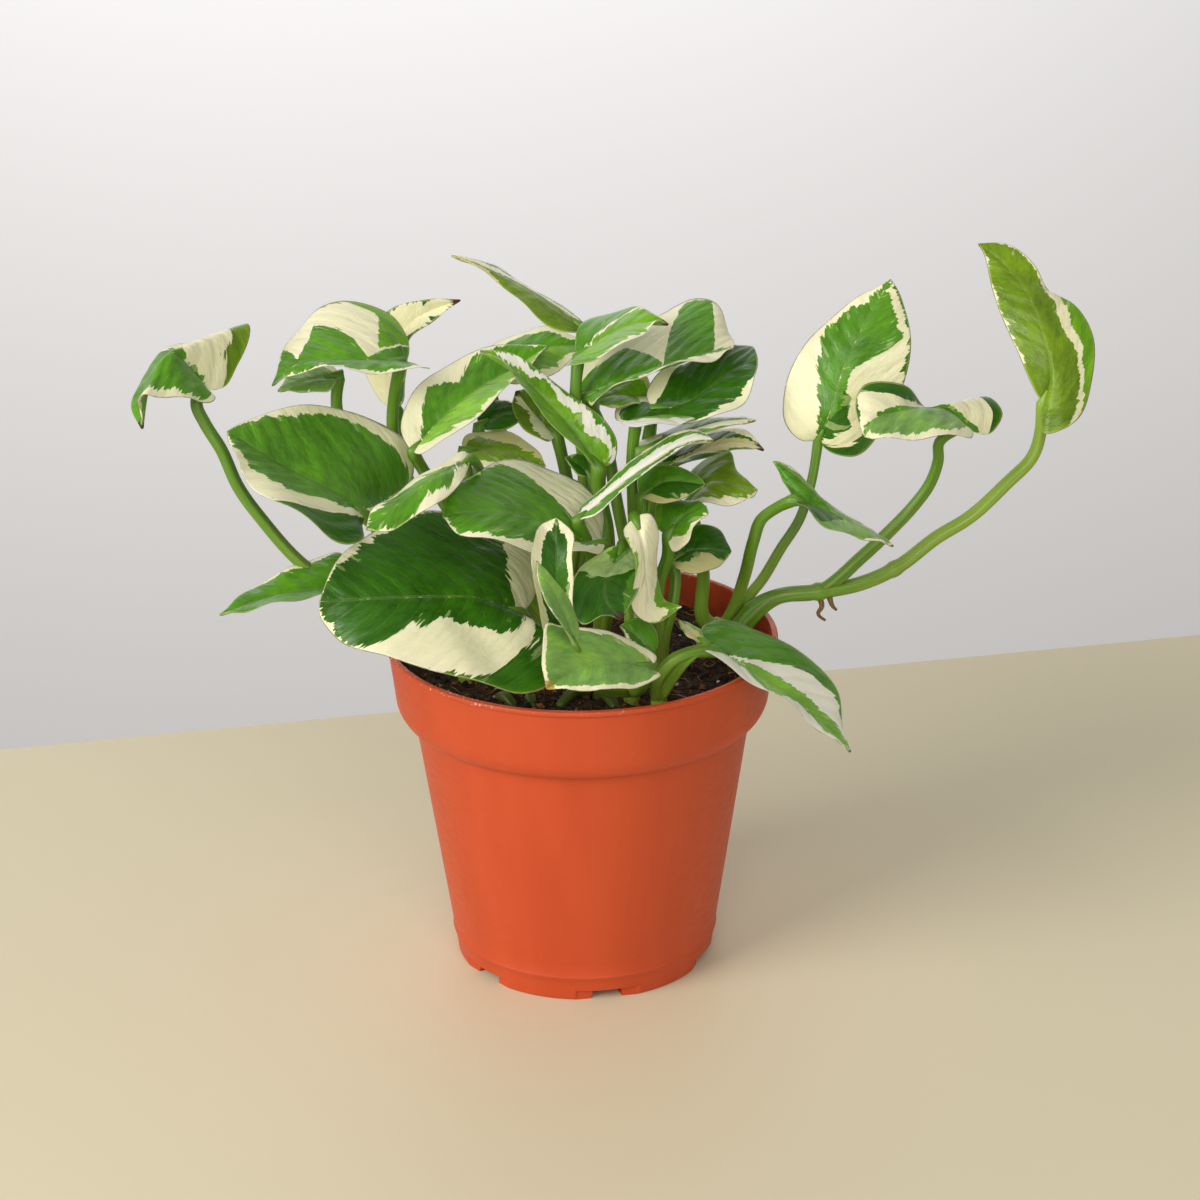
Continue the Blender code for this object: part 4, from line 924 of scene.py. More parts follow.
def left_back():
    """Stem of the hooded leaf and the two behind it."""
    return [
        leaf(
            stalk=[(-30, 16, 88), (-43, 18, 107), (-48, 18, 131), (-50, 16, 147), (-47, 12, 166)],
            mid=[(-55, 8, 168), (-64, 6, 169), (-73, 6, 168)],
            tip=(-81, 8, 161),
            left=[(-39, 4, 167), (-49, 0, 167), (-62, -2, 169), (-72, 2, 167)],
            right=[(-46, 18, 164), (-46, 24, 169), (-49, 28, 174), (-61, 30, 177), (-70, 28, 176),
                (-76, 20, 171), (-79, 12, 166)],
            bands=(
                ("mid", (95, 92, 90, 88, 86, 86, 86, 88, 92, 95, 100), "cream"),
                ("mid", (100, 100, 100, 8, 30, 55, 65, 8, 85, 100, 100), "cream",
                    (100, 100, 100, 30, 85, 95, 100, 100, 100, 100, 100), "bright"),
            ),
            ragged=0.8,
        ),
        leaf(
            stalk=[(-30, 16, 88), (-39, 18, 99), (-56, 22, 124), (-63, 22, 141), (-65, 20, 151),
                (-64, 20, 160)],
            mid=[(-72, 16, 160)],
            tip=(-80, 13, 158),
            left=[(-67, 12, 158), (-74, 12, 158)],
            right=[(-68, 26, 162), (-75, 24, 161)],
            bands=(
                ("grey", (60, 80, 90, 100, 100, 100), "cream"),
                ("grey", (40, 60, 80, 95, 100, 100), "cream"),
            ),
        ),
        leaf(
            stalk=[(-30, 16, 88), (-35, 24, 93), (-44, 32, 114), (-49, 38, 132), (-50, 40, 143)],
            mid=[(-52, 44, 154), (-46, 46, 166)],
            tip=(-32, 48, 172),
            left=[(-55, 44, 145), (-59, 46, 153), (-58, 46, 163), (-50, 46, 171), (-40, 46, 173)],
            right=[(-48, 38, 147), (-47, 38, 155), (-46, 40, 163), (-40, 44, 167)],
            bands=(
                ("cream", (100, 100, 95, 90, 100, 100), "dark"),
                ("cream", (60, 60, 70, 85, 90, 100), "dark"),
            ),
            brown=("#4A2A18", 2.5),
        ),
    ]


def left_front():
    """Stem of the two broad left leaves and the small folded one between them."""
    return [
        leaf(
            stalk=[(-14, -10, 88), (-22, -8, 90), (-35, -6, 105), (-48, -8, 120), (-56, -18, 134)],
            mid=[(-64, -20, 142), (-75, -20, 148), (-82, -21, 153)],
            tip=(-90, -22, 159),
            left=[(-58, -36, 133), (-66, -42, 140), (-78, -42, 148), (-86, -34, 153)],
            right=[(-49, 0, 132), (-45, 8, 134), (-46, 12, 142), (-56, 10, 152), (-71, 0, 158),
                (-84, -14, 160)],
            bands=(
                ("mid", (12, 14, 22, 30, 38, 50, 58, 62, 68, 74, 85), "cream",
                    (40, 38, 38, 44, 58, 80, 100, 100, 100, 100, 100), "dark"),
                ("mid", (60, 50, 85, 100, 86, 84, 87, 78, 82, 80, 90), "cream"),
            ),
            ragged=0.7,
        ),
        leaf(
            stalk=[(-14, -10, 88), (-12, -16, 95), (-13, -24, 105), (-16, -30, 111)],
            mid=[(-27, -36, 118), (-37, -40, 120), (-53, -46, 122)],
            tip=(-66, -50, 123),
            left=[(-9, -40, 108), (-9, -52, 100), (-16, -56, 99), (-28, -60, 106), (-47, -60, 111),
                (-61, -54, 114), (-66, -50, 119)],
            right=[(-11, -18, 113), (-13, -8, 121), (-24, -4, 128), (-37, -10, 132), (-53, -26, 133),
                (-62, -40, 130)],
            bands=(
                ("dark", (40, 44, 47, 42, 31, 26, 41, 82, 100, 90, 60), "cream",
                    (90, 90, 80, 65, 76, 95, 100, 100, 100, 100, 100), "dark"),
                ("dark", (20, 30, 42, 55, 100, 100, 96, 87, 84, 92, 92), "cream"),
            ),
            thick=(1.7, 1.6),
        ),
        leaf(
            stalk=[(-14, -10, 88), (-15, -4, 101), (-21, 3, 119), (-24, 3, 132), (-26, -4, 140),
                (-27, -14, 147), (-28, -20, 150)],
            mid=[(-38, -36, 150), (-45, -40, 146)],
            tip=(-54, -44, 140),
            left=[(-31, -36, 148), (-37, -44, 146), (-43, -46, 143), (-48, -48, 141)],
            right=[(-29, -18, 151), (-38, -24, 149), (-47, -32, 145), (-53, -40, 143)],
            bands=(
                ("mid", (30, 30, 35, 50, 60, 40, 90, 97, 95, 90, 100), "cream"),
                ("mid", (5, 10, 20, 30, 42, 60, 70, 68, 66, 72, 100), "cream"),
            ),
            thick=(1.4, 1.3),
        ),
    ]


def centre_back():
    """Stem of the topmost leaves and the shaded ones below them."""
    return [
        leaf(
            stalk=[(-8, 12, 88), (-22, 10, 102), (-32, 8, 120), (-40, 6, 135), (-44, 0, 145)],
            mid=[(-37, 8, 151), (-28, 14, 157), (-17, 22, 161)],
            tip=(-8, 28, 165),
            left=[(-47, 4, 149), (-45, 12, 156), (-38, 22, 160), (-27, 28, 164), (-16, 30, 165)],
            right=[(-42, -4, 146), (-32, -2, 151), (-24, 4, 156), (-17, 14, 160), (-12, 20, 163)],
            bands=(
                ("mid", (0, 0, 26, 65, 81, 41, 76, 90, 95, 92, 100), "cream"),
                ("light", (0, 35, 72, 84, 88, 90, 90, 89, 88, 90, 100), "cream"),
            ),
            ragged=0.8,
        ),
        leaf(
            stalk=[(-8, 12, 88), (-7, 16, 96), (-14, 24, 116), (-22, 30, 143), (-25, 34, 156)],
            mid=[(-12, 34, 162)],
            tip=(2, 34, 163),
            left=[(-24, 42, 160), (-12, 44, 165), (-7, 42, 166), (-2, 38, 165)],
            right=[(-17, 26, 155), (-8, 26, 157), (-1, 30, 161)],
            bands=(
                ("mid", (30, 40, 50, 60, 70, 75, 70, 60, 50, 60, 100), "cream"),
                ("grey", (90, 90, 90, 85, 80, 80, 75, 70, 70, 80, 100), "cream"),
            ),
            ragged=0.6,
        ),
        leaf(
            stalk=[(-8, 12, 88), (-3, 16, 96), (0, 20, 106), (3, 26, 127), (4, 30, 149), (2, 30, 169)],
            mid=[(-4, 31, 173), (-12, 34, 178), (-20, 37, 182), (-27, 39, 185)],
            tip=(-34, 40, 187),
            left=[(-2, 26, 169), (-8, 24, 172), (-16, 28, 178), (-24, 35, 183)],
            right=[(1, 36, 170), (-9, 44, 174), (-16, 46, 178), (-24, 46, 183)],
            bands=(
                ("olive", (100, 100, 100, 100, 100, 100, 100, 70, 30, 10, 0), "straw"),
                ("olive", (30, 35, 35, 30, 25, 15, 5, 0, 0, 0, 0), "cream",
                    (60, 60, 60, 60, 60, 60, 50, 40, 40, 60, 80), "mid",
                    (85, 85, 85, 80, 80, 80, 75, 70, 70, 80, 100), "cream"),
            ),
            ragged=0.5,
        ),
        leaf(
            stalk=[(-8, 12, 88), (-6, 14, 91), (-1, 14, 114), (1, 14, 134), (-1, 12, 155),
                (0, 14, 166)],
            mid=[(6, 14, 171), (15, 15, 175)],
            tip=(24, 14, 175),
            left=[(-1, 20, 169), (0, 24, 171), (5, 28, 173), (14, 26, 176), (20, 18, 177)],
            right=[(-3, 6, 166), (3, 2, 169), (10, 0, 173), (16, 4, 175), (21, 10, 177)],
            bands=(
                ("bright", (0, 0, 4, 15, 24, 40, 62, 85, 100, 100, 100), "cream",
                    (0, 0, 8, 20, 30, 48, 72, 100, 100, 100, 100), "mid"),
                ("bright", (100, 100, 100, 100, 100, 95, 90, 85, 85, 90, 100), "cream"),
            ),
            brown=("#5A3A1E", 2),
        ),
        leaf(
            stalk=[(-8, 12, 88), (-14, 12, 98), (-22, 12, 107), (-29, 8, 131), (-31, 6, 143)],
            mid=[(-20, 9, 142)],
            tip=(-9, 10, 137),
            left=[(-31, 10, 145), (-27, 16, 145), (-19, 18, 144), (-12, 14, 141)],
            right=[(-26, 0, 141), (-18, 0, 138), (-13, 4, 137)],
            bands=(
                ("olive", (20, 30, 50, 60, 50, 40, 30, 30, 40, 60, 60), "straw"),
                ("olive", (100, 100, 90, 80, 70, 60, 50, 40, 50, 60, 80), "cream"),
            ),
            ragged=0.8,
        ),
        leaf(
            stalk=[(-8, 12, 88), (-22, 12, 107), (-27, 16, 131), (-27, 20, 145)],
            mid=[(-21, 22, 148)],
            tip=(-15, 24, 148),
            left=[(-27, 26, 149), (-21, 28, 150)],
            right=[(-23, 16, 145), (-17, 18, 146)],
            bands=(("dark", (100, 100, 90, 80, 90, 100), "cream"), ("dark", (100, 100, 100), "dark")),
            ragged=0.7,
        ),
        leaf(
            stalk=[(-8, 12, 88), (-6, 16, 96), (-2, 20, 118), (-4, 20, 132), (-6, 20, 142)],
            mid=[(-12, 24, 147)],
            tip=(-17, 26, 153),
            left=[(-9, 16, 142), (-15, 18, 145), (-18, 22, 149)],
            right=[(-5, 26, 145), (-8, 30, 150), (-13, 30, 152)],
            bands=(
                ("cream", (100, 100, 60, 30, 40, 60), "olive"),
                ("olive", (100, 70, 40, 60, 70, 80), "cream"),
            ),
            brown=("#4A3020", 1.2), ragged=0.8,
        ),
    ]


def centre():
    """Stem of the flat centre leaf, the veined one above it and the narrow pale one."""
    return [
        leaf(
            stalk=[(4, -4, 88), (6, -8, 97), (7, -14, 114), (6, -20, 126)],
            mid=[(0, -24, 129), (-11, -28, 136), (-20, -32, 140)],
            tip=(-35, -38, 141),
            left=[(5, -30, 128), (-2, -37, 130), (-12, -42, 133), (-24, -44, 137), (-32, -42, 139)],
            right=[(6, -10, 126), (5, -4, 130), (0, 2, 136), (-10, 2, 140), (-21, -6, 144),
                (-29, -20, 145), (-34, -32, 144)],
            bands=(
                ("mid", (20, 35, 50, 60, 65, 70, 82, 84, 86, 84, 88), "cream"),
                ("mid", (5, 5, 9, 27, 45, 72, 95, 100, 100, 100, 100), "cream"),
            ),
            ragged=0.7,
        ),
        leaf(
            stalk=[(4, -4, 88), (5, -4, 95), (7, -4, 110), (7, -2, 123), (5, 0, 133), (5, -1, 140)],
            mid=[(-1, 2, 149), (-9, 6, 157), (-17, 10, 164)],
            tip=(-26, 12, 169),
            left=[(3, -4, 143), (-4, -6, 151), (-10, -4, 157), (-15, 0, 163), (-19, 6, 167)],
            right=[(9, 2, 141), (10, 4, 146), (7, 6, 151), (0, 8, 156), (-10, 12, 163), (-19, 14, 168)],
            bands=(
                ("bright", (100, 100, 100), "mid"),
                ("bright", (100, 100, 85, 30, 45, 45, 74, 12, 15, 60, 100), "white",
                    (100, 100, 100, 85, 85, 95, 85, 85, 80, 70, 100), "mid"),
            ),
            thick=(1.7, 1.9), ragged=0.8,
        ),
        leaf(
            stalk=[(4, -4, 88), (5, -10, 104), (4, -12, 110), (2, -20, 126), (-1, -24, 134)],
            mid=[(8, -18, 140), (18, -14, 146), (27, -10, 150)],
            tip=(35, -8, 150),
            left=[(1, -16, 136), (7, -12, 140), (16, -6, 146), (25, -2, 150), (31, -2, 151)],
            right=[(5, -28, 138), (15, -24, 146), (23, -18, 149), (29, -12, 151)],
            bands=(
                ("white", (60, 55, 50, 45, 40, 45, 50, 40, 50, 60, 80), "mid",
                    (100, 90, 85, 80, 80, 85, 85, 80, 80, 85, 90), "cream"),
                ("cream", (25, 25, 30, 30, 35, 40, 45, 50, 60, 80, 100), "mid",
                    (80, 90, 95, 95, 95, 90, 85, 80, 85, 95, 100), "white"),
            ),
            ragged=0.5,
        ),
        leaf(
            stalk=[(4, -4, 88), (5, 0, 114), (5, 4, 129), (3, 4, 136)],
            mid=[(0, 5, 139)],
            tip=(-4, 6, 141),
            left=[(0, 2, 137)],
            right=[(1, 8, 141)],
            bands=(("dark", (100, 100, 100), "dark"), ("dark", (100, 100, 100), "dark")),
            thick=(1.2, 1.1),
        ),
    ]


def front():
    """Stem of the folded and drooping leaves at the front."""
    return [
        leaf(
            stalk=[(13, -27, 88), (5, -38, 93), (0, -44, 100), (-2, -48, 109)],
            mid=[(-6, -47, 119), (-6, -46, 132)],
            tip=(-6, -40, 141),
            left=[(-8, -51, 111), (-10, -52, 118), (-12, -51, 129), (-12, -48, 137), (-10, -42, 140)],
            right=[(-1, -49, 111), (-2, -50, 123), (-2, -48, 133), (-2, -42, 138)],
            bands=(
                ("dark", (40, 45, 52, 58, 62, 62, 60, 56, 50, 30, 0), "cream"),
                ("dark", (40, 50, 60, 66, 70, 70, 66, 60, 55, 20, 0), "cream"),
            ),
            cup=(50, 50), ragged=0.35,
        ),
        leaf(
            stalk=[(13, -27, 88), (0, -46, 101), (0, -50, 106), (-1, -58, 113)],
            mid=[(-5, -60, 125)],
            tip=(-11, -54, 135),
            left=[(-6, -64, 123), (-9, -63, 128), (-11, -57, 132)],
            right=[(-1, -56, 120), (-4, -56, 127)],
            bands=(("grey", (100, 100, 100, 92, 90, 85), "white"), ("grey", (100, 100, 100), "white")),
            thick=(1.2, 0.5), ragged=0.3,
        ),
        leaf(
            stalk=[(13, -27, 88), (15, -38, 93), (17, -46, 102)],
            mid=[(10, -51, 106), (-1, -58, 107)],
            tip=(-9, -63, 104),
            left=[(20, -47, 101), (15, -55, 101), (4, -62, 103), (-3, -64, 104)],
            right=[(19, -42, 103), (14, -43, 108), (8, -46, 112), (2, -50, 115), (-5, -55, 118),
                (-9, -59, 120), (-10, -62, 113)],
            bands=(
                ("grey", (60, 70, 78, 86, 84, 82, 80, 76, 70, 50, 20), "cream"),
                ("grey", (66, 66, 64, 76, 88, 93, 93, 92, 86, 60, 20), "cream"),
            ),
            brown=("#A88C3C", 1.6), ragged=0.35,
        ),
        leaf(
            stalk=[(13, -27, 88), (13, -20, 99), (12, -18, 117), (11, -21, 126)],
            mid=[(9, -27, 124), (6, -40, 123), (7, -48, 120)],
            tip=(10, -50, 117),
            left=[(14, -20, 126), (16, -26, 124), (15, -37, 121), (12, -47, 119)],
            right=[(8, -24, 127), (2, -29, 125), (-2, -39, 124), (-3, -46, 120), (0, -50, 116),
                (5, -52, 119)],
            bands=(
                ("grey", (100, 100, 60, 0, 0, 0, 0, 0, 0, 0, 0), "mint",
                    (100, 100, 100, 100, 100, 0, 0, 0, 0, 0, 0), "dark",
                    (100, 100, 100, 100, 100, 60, 60, 60, 65, 80, 100), "mid"),
                ("mid", (100, 100, 70, 0, 0, 0, 0, 0, 0, 0, 0), "mint",
                    (100, 100, 100, 100, 100, 0, 0, 0, 0, 0, 0), "dark"),
            ),
            brown=("#4A3020", 2), ragged=0.5,
        ),
        leaf(
            stalk=[(13, -27, 88), (15, -20, 102), (15, -18, 121), (14, -24, 135)],
            mid=[(16, -30, 130), (17, -34, 120), (18, -36, 115)],
            tip=(26, -34, 114),
            left=[(18, -24, 136), (20, -24, 131), (20, -28, 118), (22, -32, 115)],
            right=[(11, -28, 133), (14, -36, 128), (13, -40, 116), (18, -38, 111)],
            bands=(
                ("cream", (100, 100, 100, 100, 100, 100, 80, 25, 10, 0, 0), "bright"),
                ("cream", (100, 100, 100, 96, 96, 100, 100, 100, 80, 20, 0), "bright"),
            ),
            ragged=0.6,
        ),
        leaf(
            stalk=[(13, -27, 88), (16, -32, 95), (18, -35, 101)],
            mid=[(15, -34, 105)],
            tip=(10, -34, 109),
            left=[(14, -37, 103)],
            right=[(20, -32, 103), (18, -30, 108), (13, -32, 110)],
            bands=(("mid", (30, 30, 40, 60, 80, 100), "cream"), ("mid", (100, 100, 100), "cream")),
            thick=(1.3, 1.2), ragged=0.5,
        ),
    ]


def right_inner():
    """Stem of the wide dark leaves and the thin ones layered under them."""
    return [
        leaf(
            stalk=[(15, 10, 88), (14, 14, 102), (10, 18, 124), (7, 20, 141), (2, 14, 155)],
            mid=[(14, 10, 162), (25, 12, 165), (35, 18, 166)],
            tip=(42, 22, 166),
            left=[(0, 18, 155), (-1, 24, 159), (6, 30, 164), (18, 36, 169), (31, 40, 174),
                (37, 38, 173), (41, 30, 168)],
            right=[(3, 8, 155), (13, 4, 163), (25, 6, 166), (36, 12, 166)],
            bands=(
                ("mid", (100, 100, 62, 62, 60, 2, 95, 100, 0, 5, 30), "cream"),
                ("mid", (100, 100, 90, 90, 90, 90, 50, 20, 50, 60, 60), "cream"),
            ),
            ragged=0.7,
        ),
        leaf(
            stalk=[(15, 10, 88), (16, 10, 98), (17, 12, 115), (18, 14, 140), (20, 12, 152)],
            mid=[(29, 12, 154), (41, 20, 160)],
            tip=(48, 22, 163),
            left=[(18, 14, 155), (22, 20, 160), (30, 26, 161), (40, 30, 164), (46, 30, 164)],
            right=[(24, 4, 151), (35, 2, 153), (43, 6, 155), (47, 14, 160)],
            bands=(
                ("dark", (100, 40, 45, 60, 90, 100, 100, 100, 100, 100, 100), "cream"),
                ("dark", (100, 100, 100, 100, 96, 82, 74, 84, 100, 100, 100), "cream"),
            ),
            ragged=0.6,
        ),
        leaf(
            stalk=[(15, 10, 88), (18, 14, 120), (19, 20, 141), (20, 22, 150)],
            mid=[(12, 19, 154)],
            tip=(3, 15, 153),
            left=[(16, 14, 153), (9, 11, 153)],
            right=[(18, 26, 157), (9, 24, 155)],
            bands=(
                ("bright", (60, 70, 80, 90, 80, 70), "straw"),
                ("bright", (60, 70, 80, 90, 70, 70), "straw"),
            ),
            ragged=0.6,
        ),
        leaf(
            stalk=[(15, 10, 88), (15, 8, 105), (14, 6, 129), (14, 6, 143), (15, 6, 150)],
            mid=[(21, 7, 152), (27, 7, 152)],
            tip=(32, 4, 152),
            left=[(10, 10, 150), (10, 16, 151), (15, 20, 153), (23, 20, 153), (30, 12, 151)],
            right=[(11, 0, 152), (17, -4, 153), (25, -3, 153)],
            bands=(
                ("dark", (60, 80, 90, 90, 70, 50, 10, 0, 0, 20, 100), "cream"),
                ("grey", (20, 30, 40, 40, 45, 50, 50, 40, 40, 50, 100), "white"),
            ),
            brown=("#4A3020", 2), ragged=0.5,
        ),
        leaf(
            stalk=[(15, 10, 88), (16, 6, 106), (17, 4, 129), (16, 4, 143)],
            mid=[(29, 6, 148), (39, 8, 150)],
            tip=(47, 8, 150),
            left=[(14, 10, 142), (22, 14, 145), (33, 16, 148), (42, 14, 149)],
            right=[(17, 0, 143), (26, -2, 148), (34, 0, 150), (42, 4, 150)],
            bands=(
                ("mid", (20, 20, 30, 30, 90, 90, 60, 30, 30, 50, 60), "cream"),
                ("cream", (100, 100, 80, 50, 40, 50, 80, 90, 90, 90, 100), "mid"),
            ),
            ragged=0.5,
        ),
        leaf(
            stalk=[(15, 10, 88), (16, 8, 99), (17, 6, 108), (19, 4, 126), (21, 4, 138)],
            mid=[(32, 4, 143), (41, 6, 145)],
            tip=(49, 4, 143),
            left=[(22, 10, 140), (30, 14, 143), (40, 14, 146), (45, 10, 146)],
            right=[(23, 0, 139), (33, -4, 144), (41, -2, 145), (46, 0, 145)],
            bands=(
                ("straw", (10, 10, 10, 15, 15, 20, 20, 20, 30, 50, 100), "dark",
                    (40, 40, 40, 60, 70, 80, 70, 50, 50, 60, 100), "cream"),
                ("straw", (50, 50, 50, 60, 60, 65, 80, 90, 100, 100, 100), "dark"),
            ),
            brown=("#4A3020", 3), ragged=0.5,
        ),
    ]


def right_low():
    """Stem of the low leaves on the right, the round one lowest."""
    return [
        leaf(
            stalk=[(21, -12, 88), (21, -12, 96), (18, -10, 118), (16, -10, 128), (16, -10, 135)],
            mid=[(22, -9, 139), (28, -9, 139)],
            tip=(33, -9, 138),
            left=[(15, -5, 138), (17, -3, 141), (25, -5, 142), (31, -7, 140)],
            right=[(18, -15, 136), (23, -17, 136), (29, -13, 137)],
            bands=(
                ("mid", (100, 100, 100), "mid"),
                ("dark", (100, 100, 65, 60, 80, 90, 95, 100, 100, 100, 100), "straw"),
            ),
            ragged=0.7,
        ),
        leaf(
            stalk=[(21, -12, 88), (20, -12, 104), (21, -12, 113), (23, -13, 120), (23, -14, 126)],
            mid=[(27, -13, 131)],
            tip=(33, -14, 134),
            left=[(20, -10, 127), (20, -6, 132), (26, -6, 133), (31, -10, 134)],
            right=[(24, -18, 123), (28, -20, 126), (29, -20, 130), (33, -18, 133)],
            bands=(
                ("mid", (100, 100, 100, 50, 60, 90, 100, 100, 100, 100, 100), "bright"),
                ("mid", (80, 60, 50, 60, 70, 80, 85, 90, 100, 100, 100), "cream"),
            ),
            ragged=0.7,
        ),
        leaf(
            stalk=[(21, -12, 88), (22, -12, 97), (24, -11, 104), (25, -9, 110), (25, -8, 113),
                (24, -7, 116)],
            mid=[(30, -7, 119), (36, -7, 119)],
            tip=(40, -6, 118),
            left=[(24, -4, 119), (24, -1, 123), (28, 0, 123), (32, 0, 124), (37, 0, 122)],
            right=[(26, -14, 116), (30, -16, 116), (36, -12, 116)],
            bands=(
                ("dark", (100, 100, 100), "dark"),
                ("dark", (80, 75, 75, 70, 50, 25, 30, 50, 90, 100, 100), "straw"),
            ),
            thick=(1.6, 1.4), ragged=0.8,
        ),
    ]


def right_upright():
    """Stem of the tall leaf, the narrow leaf crossing its stalk and the dark one nearer in."""
    return [
        leaf(
            stalk=[(37, 13, 88), (42, 10, 93), (46, 9, 100), (49, 9, 104), (54, 9, 113), (59, 10, 121),
                (62, 12, 130), (64, 14, 142)],
            mid=[(67, 12, 151), (70, 16, 160), (76, 22, 171)],
            tip=(84, 30, 182),
            left=[(60, 14, 142), (55, 16, 147), (55, 18, 155), (61, 22, 167), (73, 28, 176)],
            right=[(68, 12, 139), (74, 12, 138), (81, 14, 145), (87, 18, 156), (89, 24, 168),
                (87, 28, 177)],
            bands=(
                ("mid", (10, 20, 24, 30, 33, 56, 77, 86, 33, 74, 100), "cream"),
                ("mid", (5, 6, 10, 20, 15, 17, 46, 76, 55, 35, 50), "dark",
                    (30, 45, 47, 52, 15, 17, 46, 76, 55, 35, 50), "cream",
                    (85, 85, 80, 80, 88, 95, 97, 97, 90, 82, 90), "dark"),
            ),
            thick=(1.6, 1.25), ragged=0.8,
        ),
        leaf(
            stalk=[(37, 13, 88), (40, 9, 93), (44, 2, 108), (46, -3, 120), (48, -5, 127),
                (52, -7, 131), (56, -10, 134)],
            mid=[(66, -9, 130), (74, -13, 127)],
            tip=(82, -16, 123),
            left=[(53, -4, 138), (51, -2, 142), (56, 0, 139), (62, 2, 132), (70, 0, 126),
                (77, -6, 124)],
            right=[(59, -18, 134), (65, -22, 130), (73, -20, 127)],
            bands=(
                ("mid", (100, 100, 100, 95, 0, 0, 0, 0, 0, 0, 0), "grey",
                    (100, 100, 100, 100, 80, 75, 70, 60, 50, 30, 0), "cream"),
                ("dark", (100, 100, 100, 100, 90, 10, 0, 0, 0, 0, 0), "grey",
                    (100, 100, 100, 100, 100, 100, 100, 100, 60, 30, 0), "cream"),
            ),
            ragged=0.5,
        ),
        leaf(
            stalk=[(37, 13, 88), (33, 10, 93), (33, 9, 106), (31, 8, 119), (29, 4, 128)],
            mid=[(35, 3, 135), (42, 0, 135)],
            tip=(47, -2, 134),
            left=[(29, 10, 133), (33, 14, 137), (40, 12, 140), (42, 6, 137)],
            right=[(32, -6, 132), (39, -8, 132), (45, -6, 133)],
            bands=(
                ("olive", (100, 100, 100, 100, 100, 100, 100, 92, 88, 86, 90), "cream"),
                ("olive", (100, 90, 90, 88, 84, 78, 74, 76, 82, 86, 90), "cream"),
            ),
            thick=(2.0, 1.7), ragged=0.6,
        ),
    ]


def trailing():
    """Stem that passes over the rim, with its two far right leaves."""
    return [
        leaf(
            stalk=[(40, 2, 88), (53, 4, 101), (64, 5, 102), (76, 8, 111), (83, 10, 117), (90, 12, 124),
                (94, 12, 130), (96, 11, 137), (96, 9, 143), (102, 12, 146)],
            mid=[(98, 12, 151), (92, 8, 153), (83, 4, 153), (77, 1, 152)],
            tip=(75, -1, 148),
            left=[(104, 2, 147), (94, -4, 149), (84, -6, 149), (77, -5, 149)],
            right=[(111, 16, 143), (114, 20, 147), (110, 24, 150), (103, 22, 146), (93, 18, 150),
                (86, 12, 158), (75, 6, 160), (73, 4, 157)],
            bands=(
                ("grey", (60, 75, 62, 68, 78, 80, 83, 80, 77, 50, 20), "cream"),
                ("mid", (100, 90, 25, 20, 30, 40, 30, 10, 5, 5, 10), "cream",
                    (100, 100, 80, 80, 90, 85, 62, 65, 85, 70, 60), "dark"),
            ),
            thick=(2.0, 1.4), ragged=0.7, tones=("stalk", "stalk"),
        ),
        leaf(
            stalk=[(40, 2, 88), (47, 4, 98), (53, 4, 101), (65, 5, 102), (76, 8, 103), (86, 12, 106),
                (97, 16, 113), (106, 18, 118), (116, 20, 127), (123, 22, 134), (125, 22, 149)],
            mid=[(127, 22, 157), (125, 26, 167), (121, 34, 177), (115, 42, 183)],
            tip=(109, 46, 187),
            left=[(123, 22, 152), (118, 26, 163), (115, 30, 169), (112, 36, 177), (111, 42, 183)],
            right=[(125, 14, 143), (129, 14, 144), (135, 18, 147), (139, 26, 156), (139, 32, 165),
                (134, 37, 173), (128, 39, 176), (124, 42, 182), (116, 46, 187)],
            bands=(
                ("olive", (100, 100, 98, 94, 93, 93, 94, 95, 98, 98, 100), "cream"),
                ("olive", (100, 100, 100, 86, 74, 42, 45, 86, 94, 94, 100), "cream",
                    (100, 100, 100, 98, 84, 68, 74, 100, 100, 100, 100), "bright"),
            ),
            thick=(2.1, 1.6), ragged=0.6, joints=((0.266, 0.3), (0.46, 0.22)), tones=("stalk", "stalk_pale"),
        ),
    ]


def rim():
    """Stem of the leaf that hangs over the rim."""
    return [
        leaf(
            stalk=[(20, -32, 88), (19, -36, 93), (21, -38, 98), (24, -38, 101), (29, -36, 102),
                (34, -33, 101)],
            mid=[(40, -32, 98), (47, -32, 93), (57, -34, 86)],
            tip=(70, -38, 74),
            left=[(31, -28, 102), (32, -22, 104), (36, -18, 104), (45, -14, 99), (57, -14, 94),
                (67, -20, 84), (69, -30, 77)],
            right=[(32, -36, 103), (40, -42, 98), (51, -42, 92), (56, -42, 87), (66, -40, 78)],
            bands=(
                ("light", (0, 0, 5, 12, 16, 19, 20, 24, 39, 56, 80), "white",
                    (0, 2, 9, 20, 33, 48, 68, 80, 88, 95, 100), "mid"),
                ("light", (10, 15, 25, 46, 80, 100, 5, 60, 65, 50, 30), "white"),
            ),
            ragged=0.6,
        ),
        leaf(
            stalk=[(20, -32, 88), (29, -36, 102), (31, -34, 102), (32, -33, 103)],
            mid=[(28, -31, 106)],
            tip=(25, -28, 108),
            left=[(27, -34, 106)],
            right=[(31, -28, 105)],
            bands=(
                ("straw", (100, 100, 90, 70, 60, 60), "grey"),
                ("straw", (60, 60, 50, 40, 40, 40), "grey"),
            ),
            ragged=0.4,
        ),
    ]


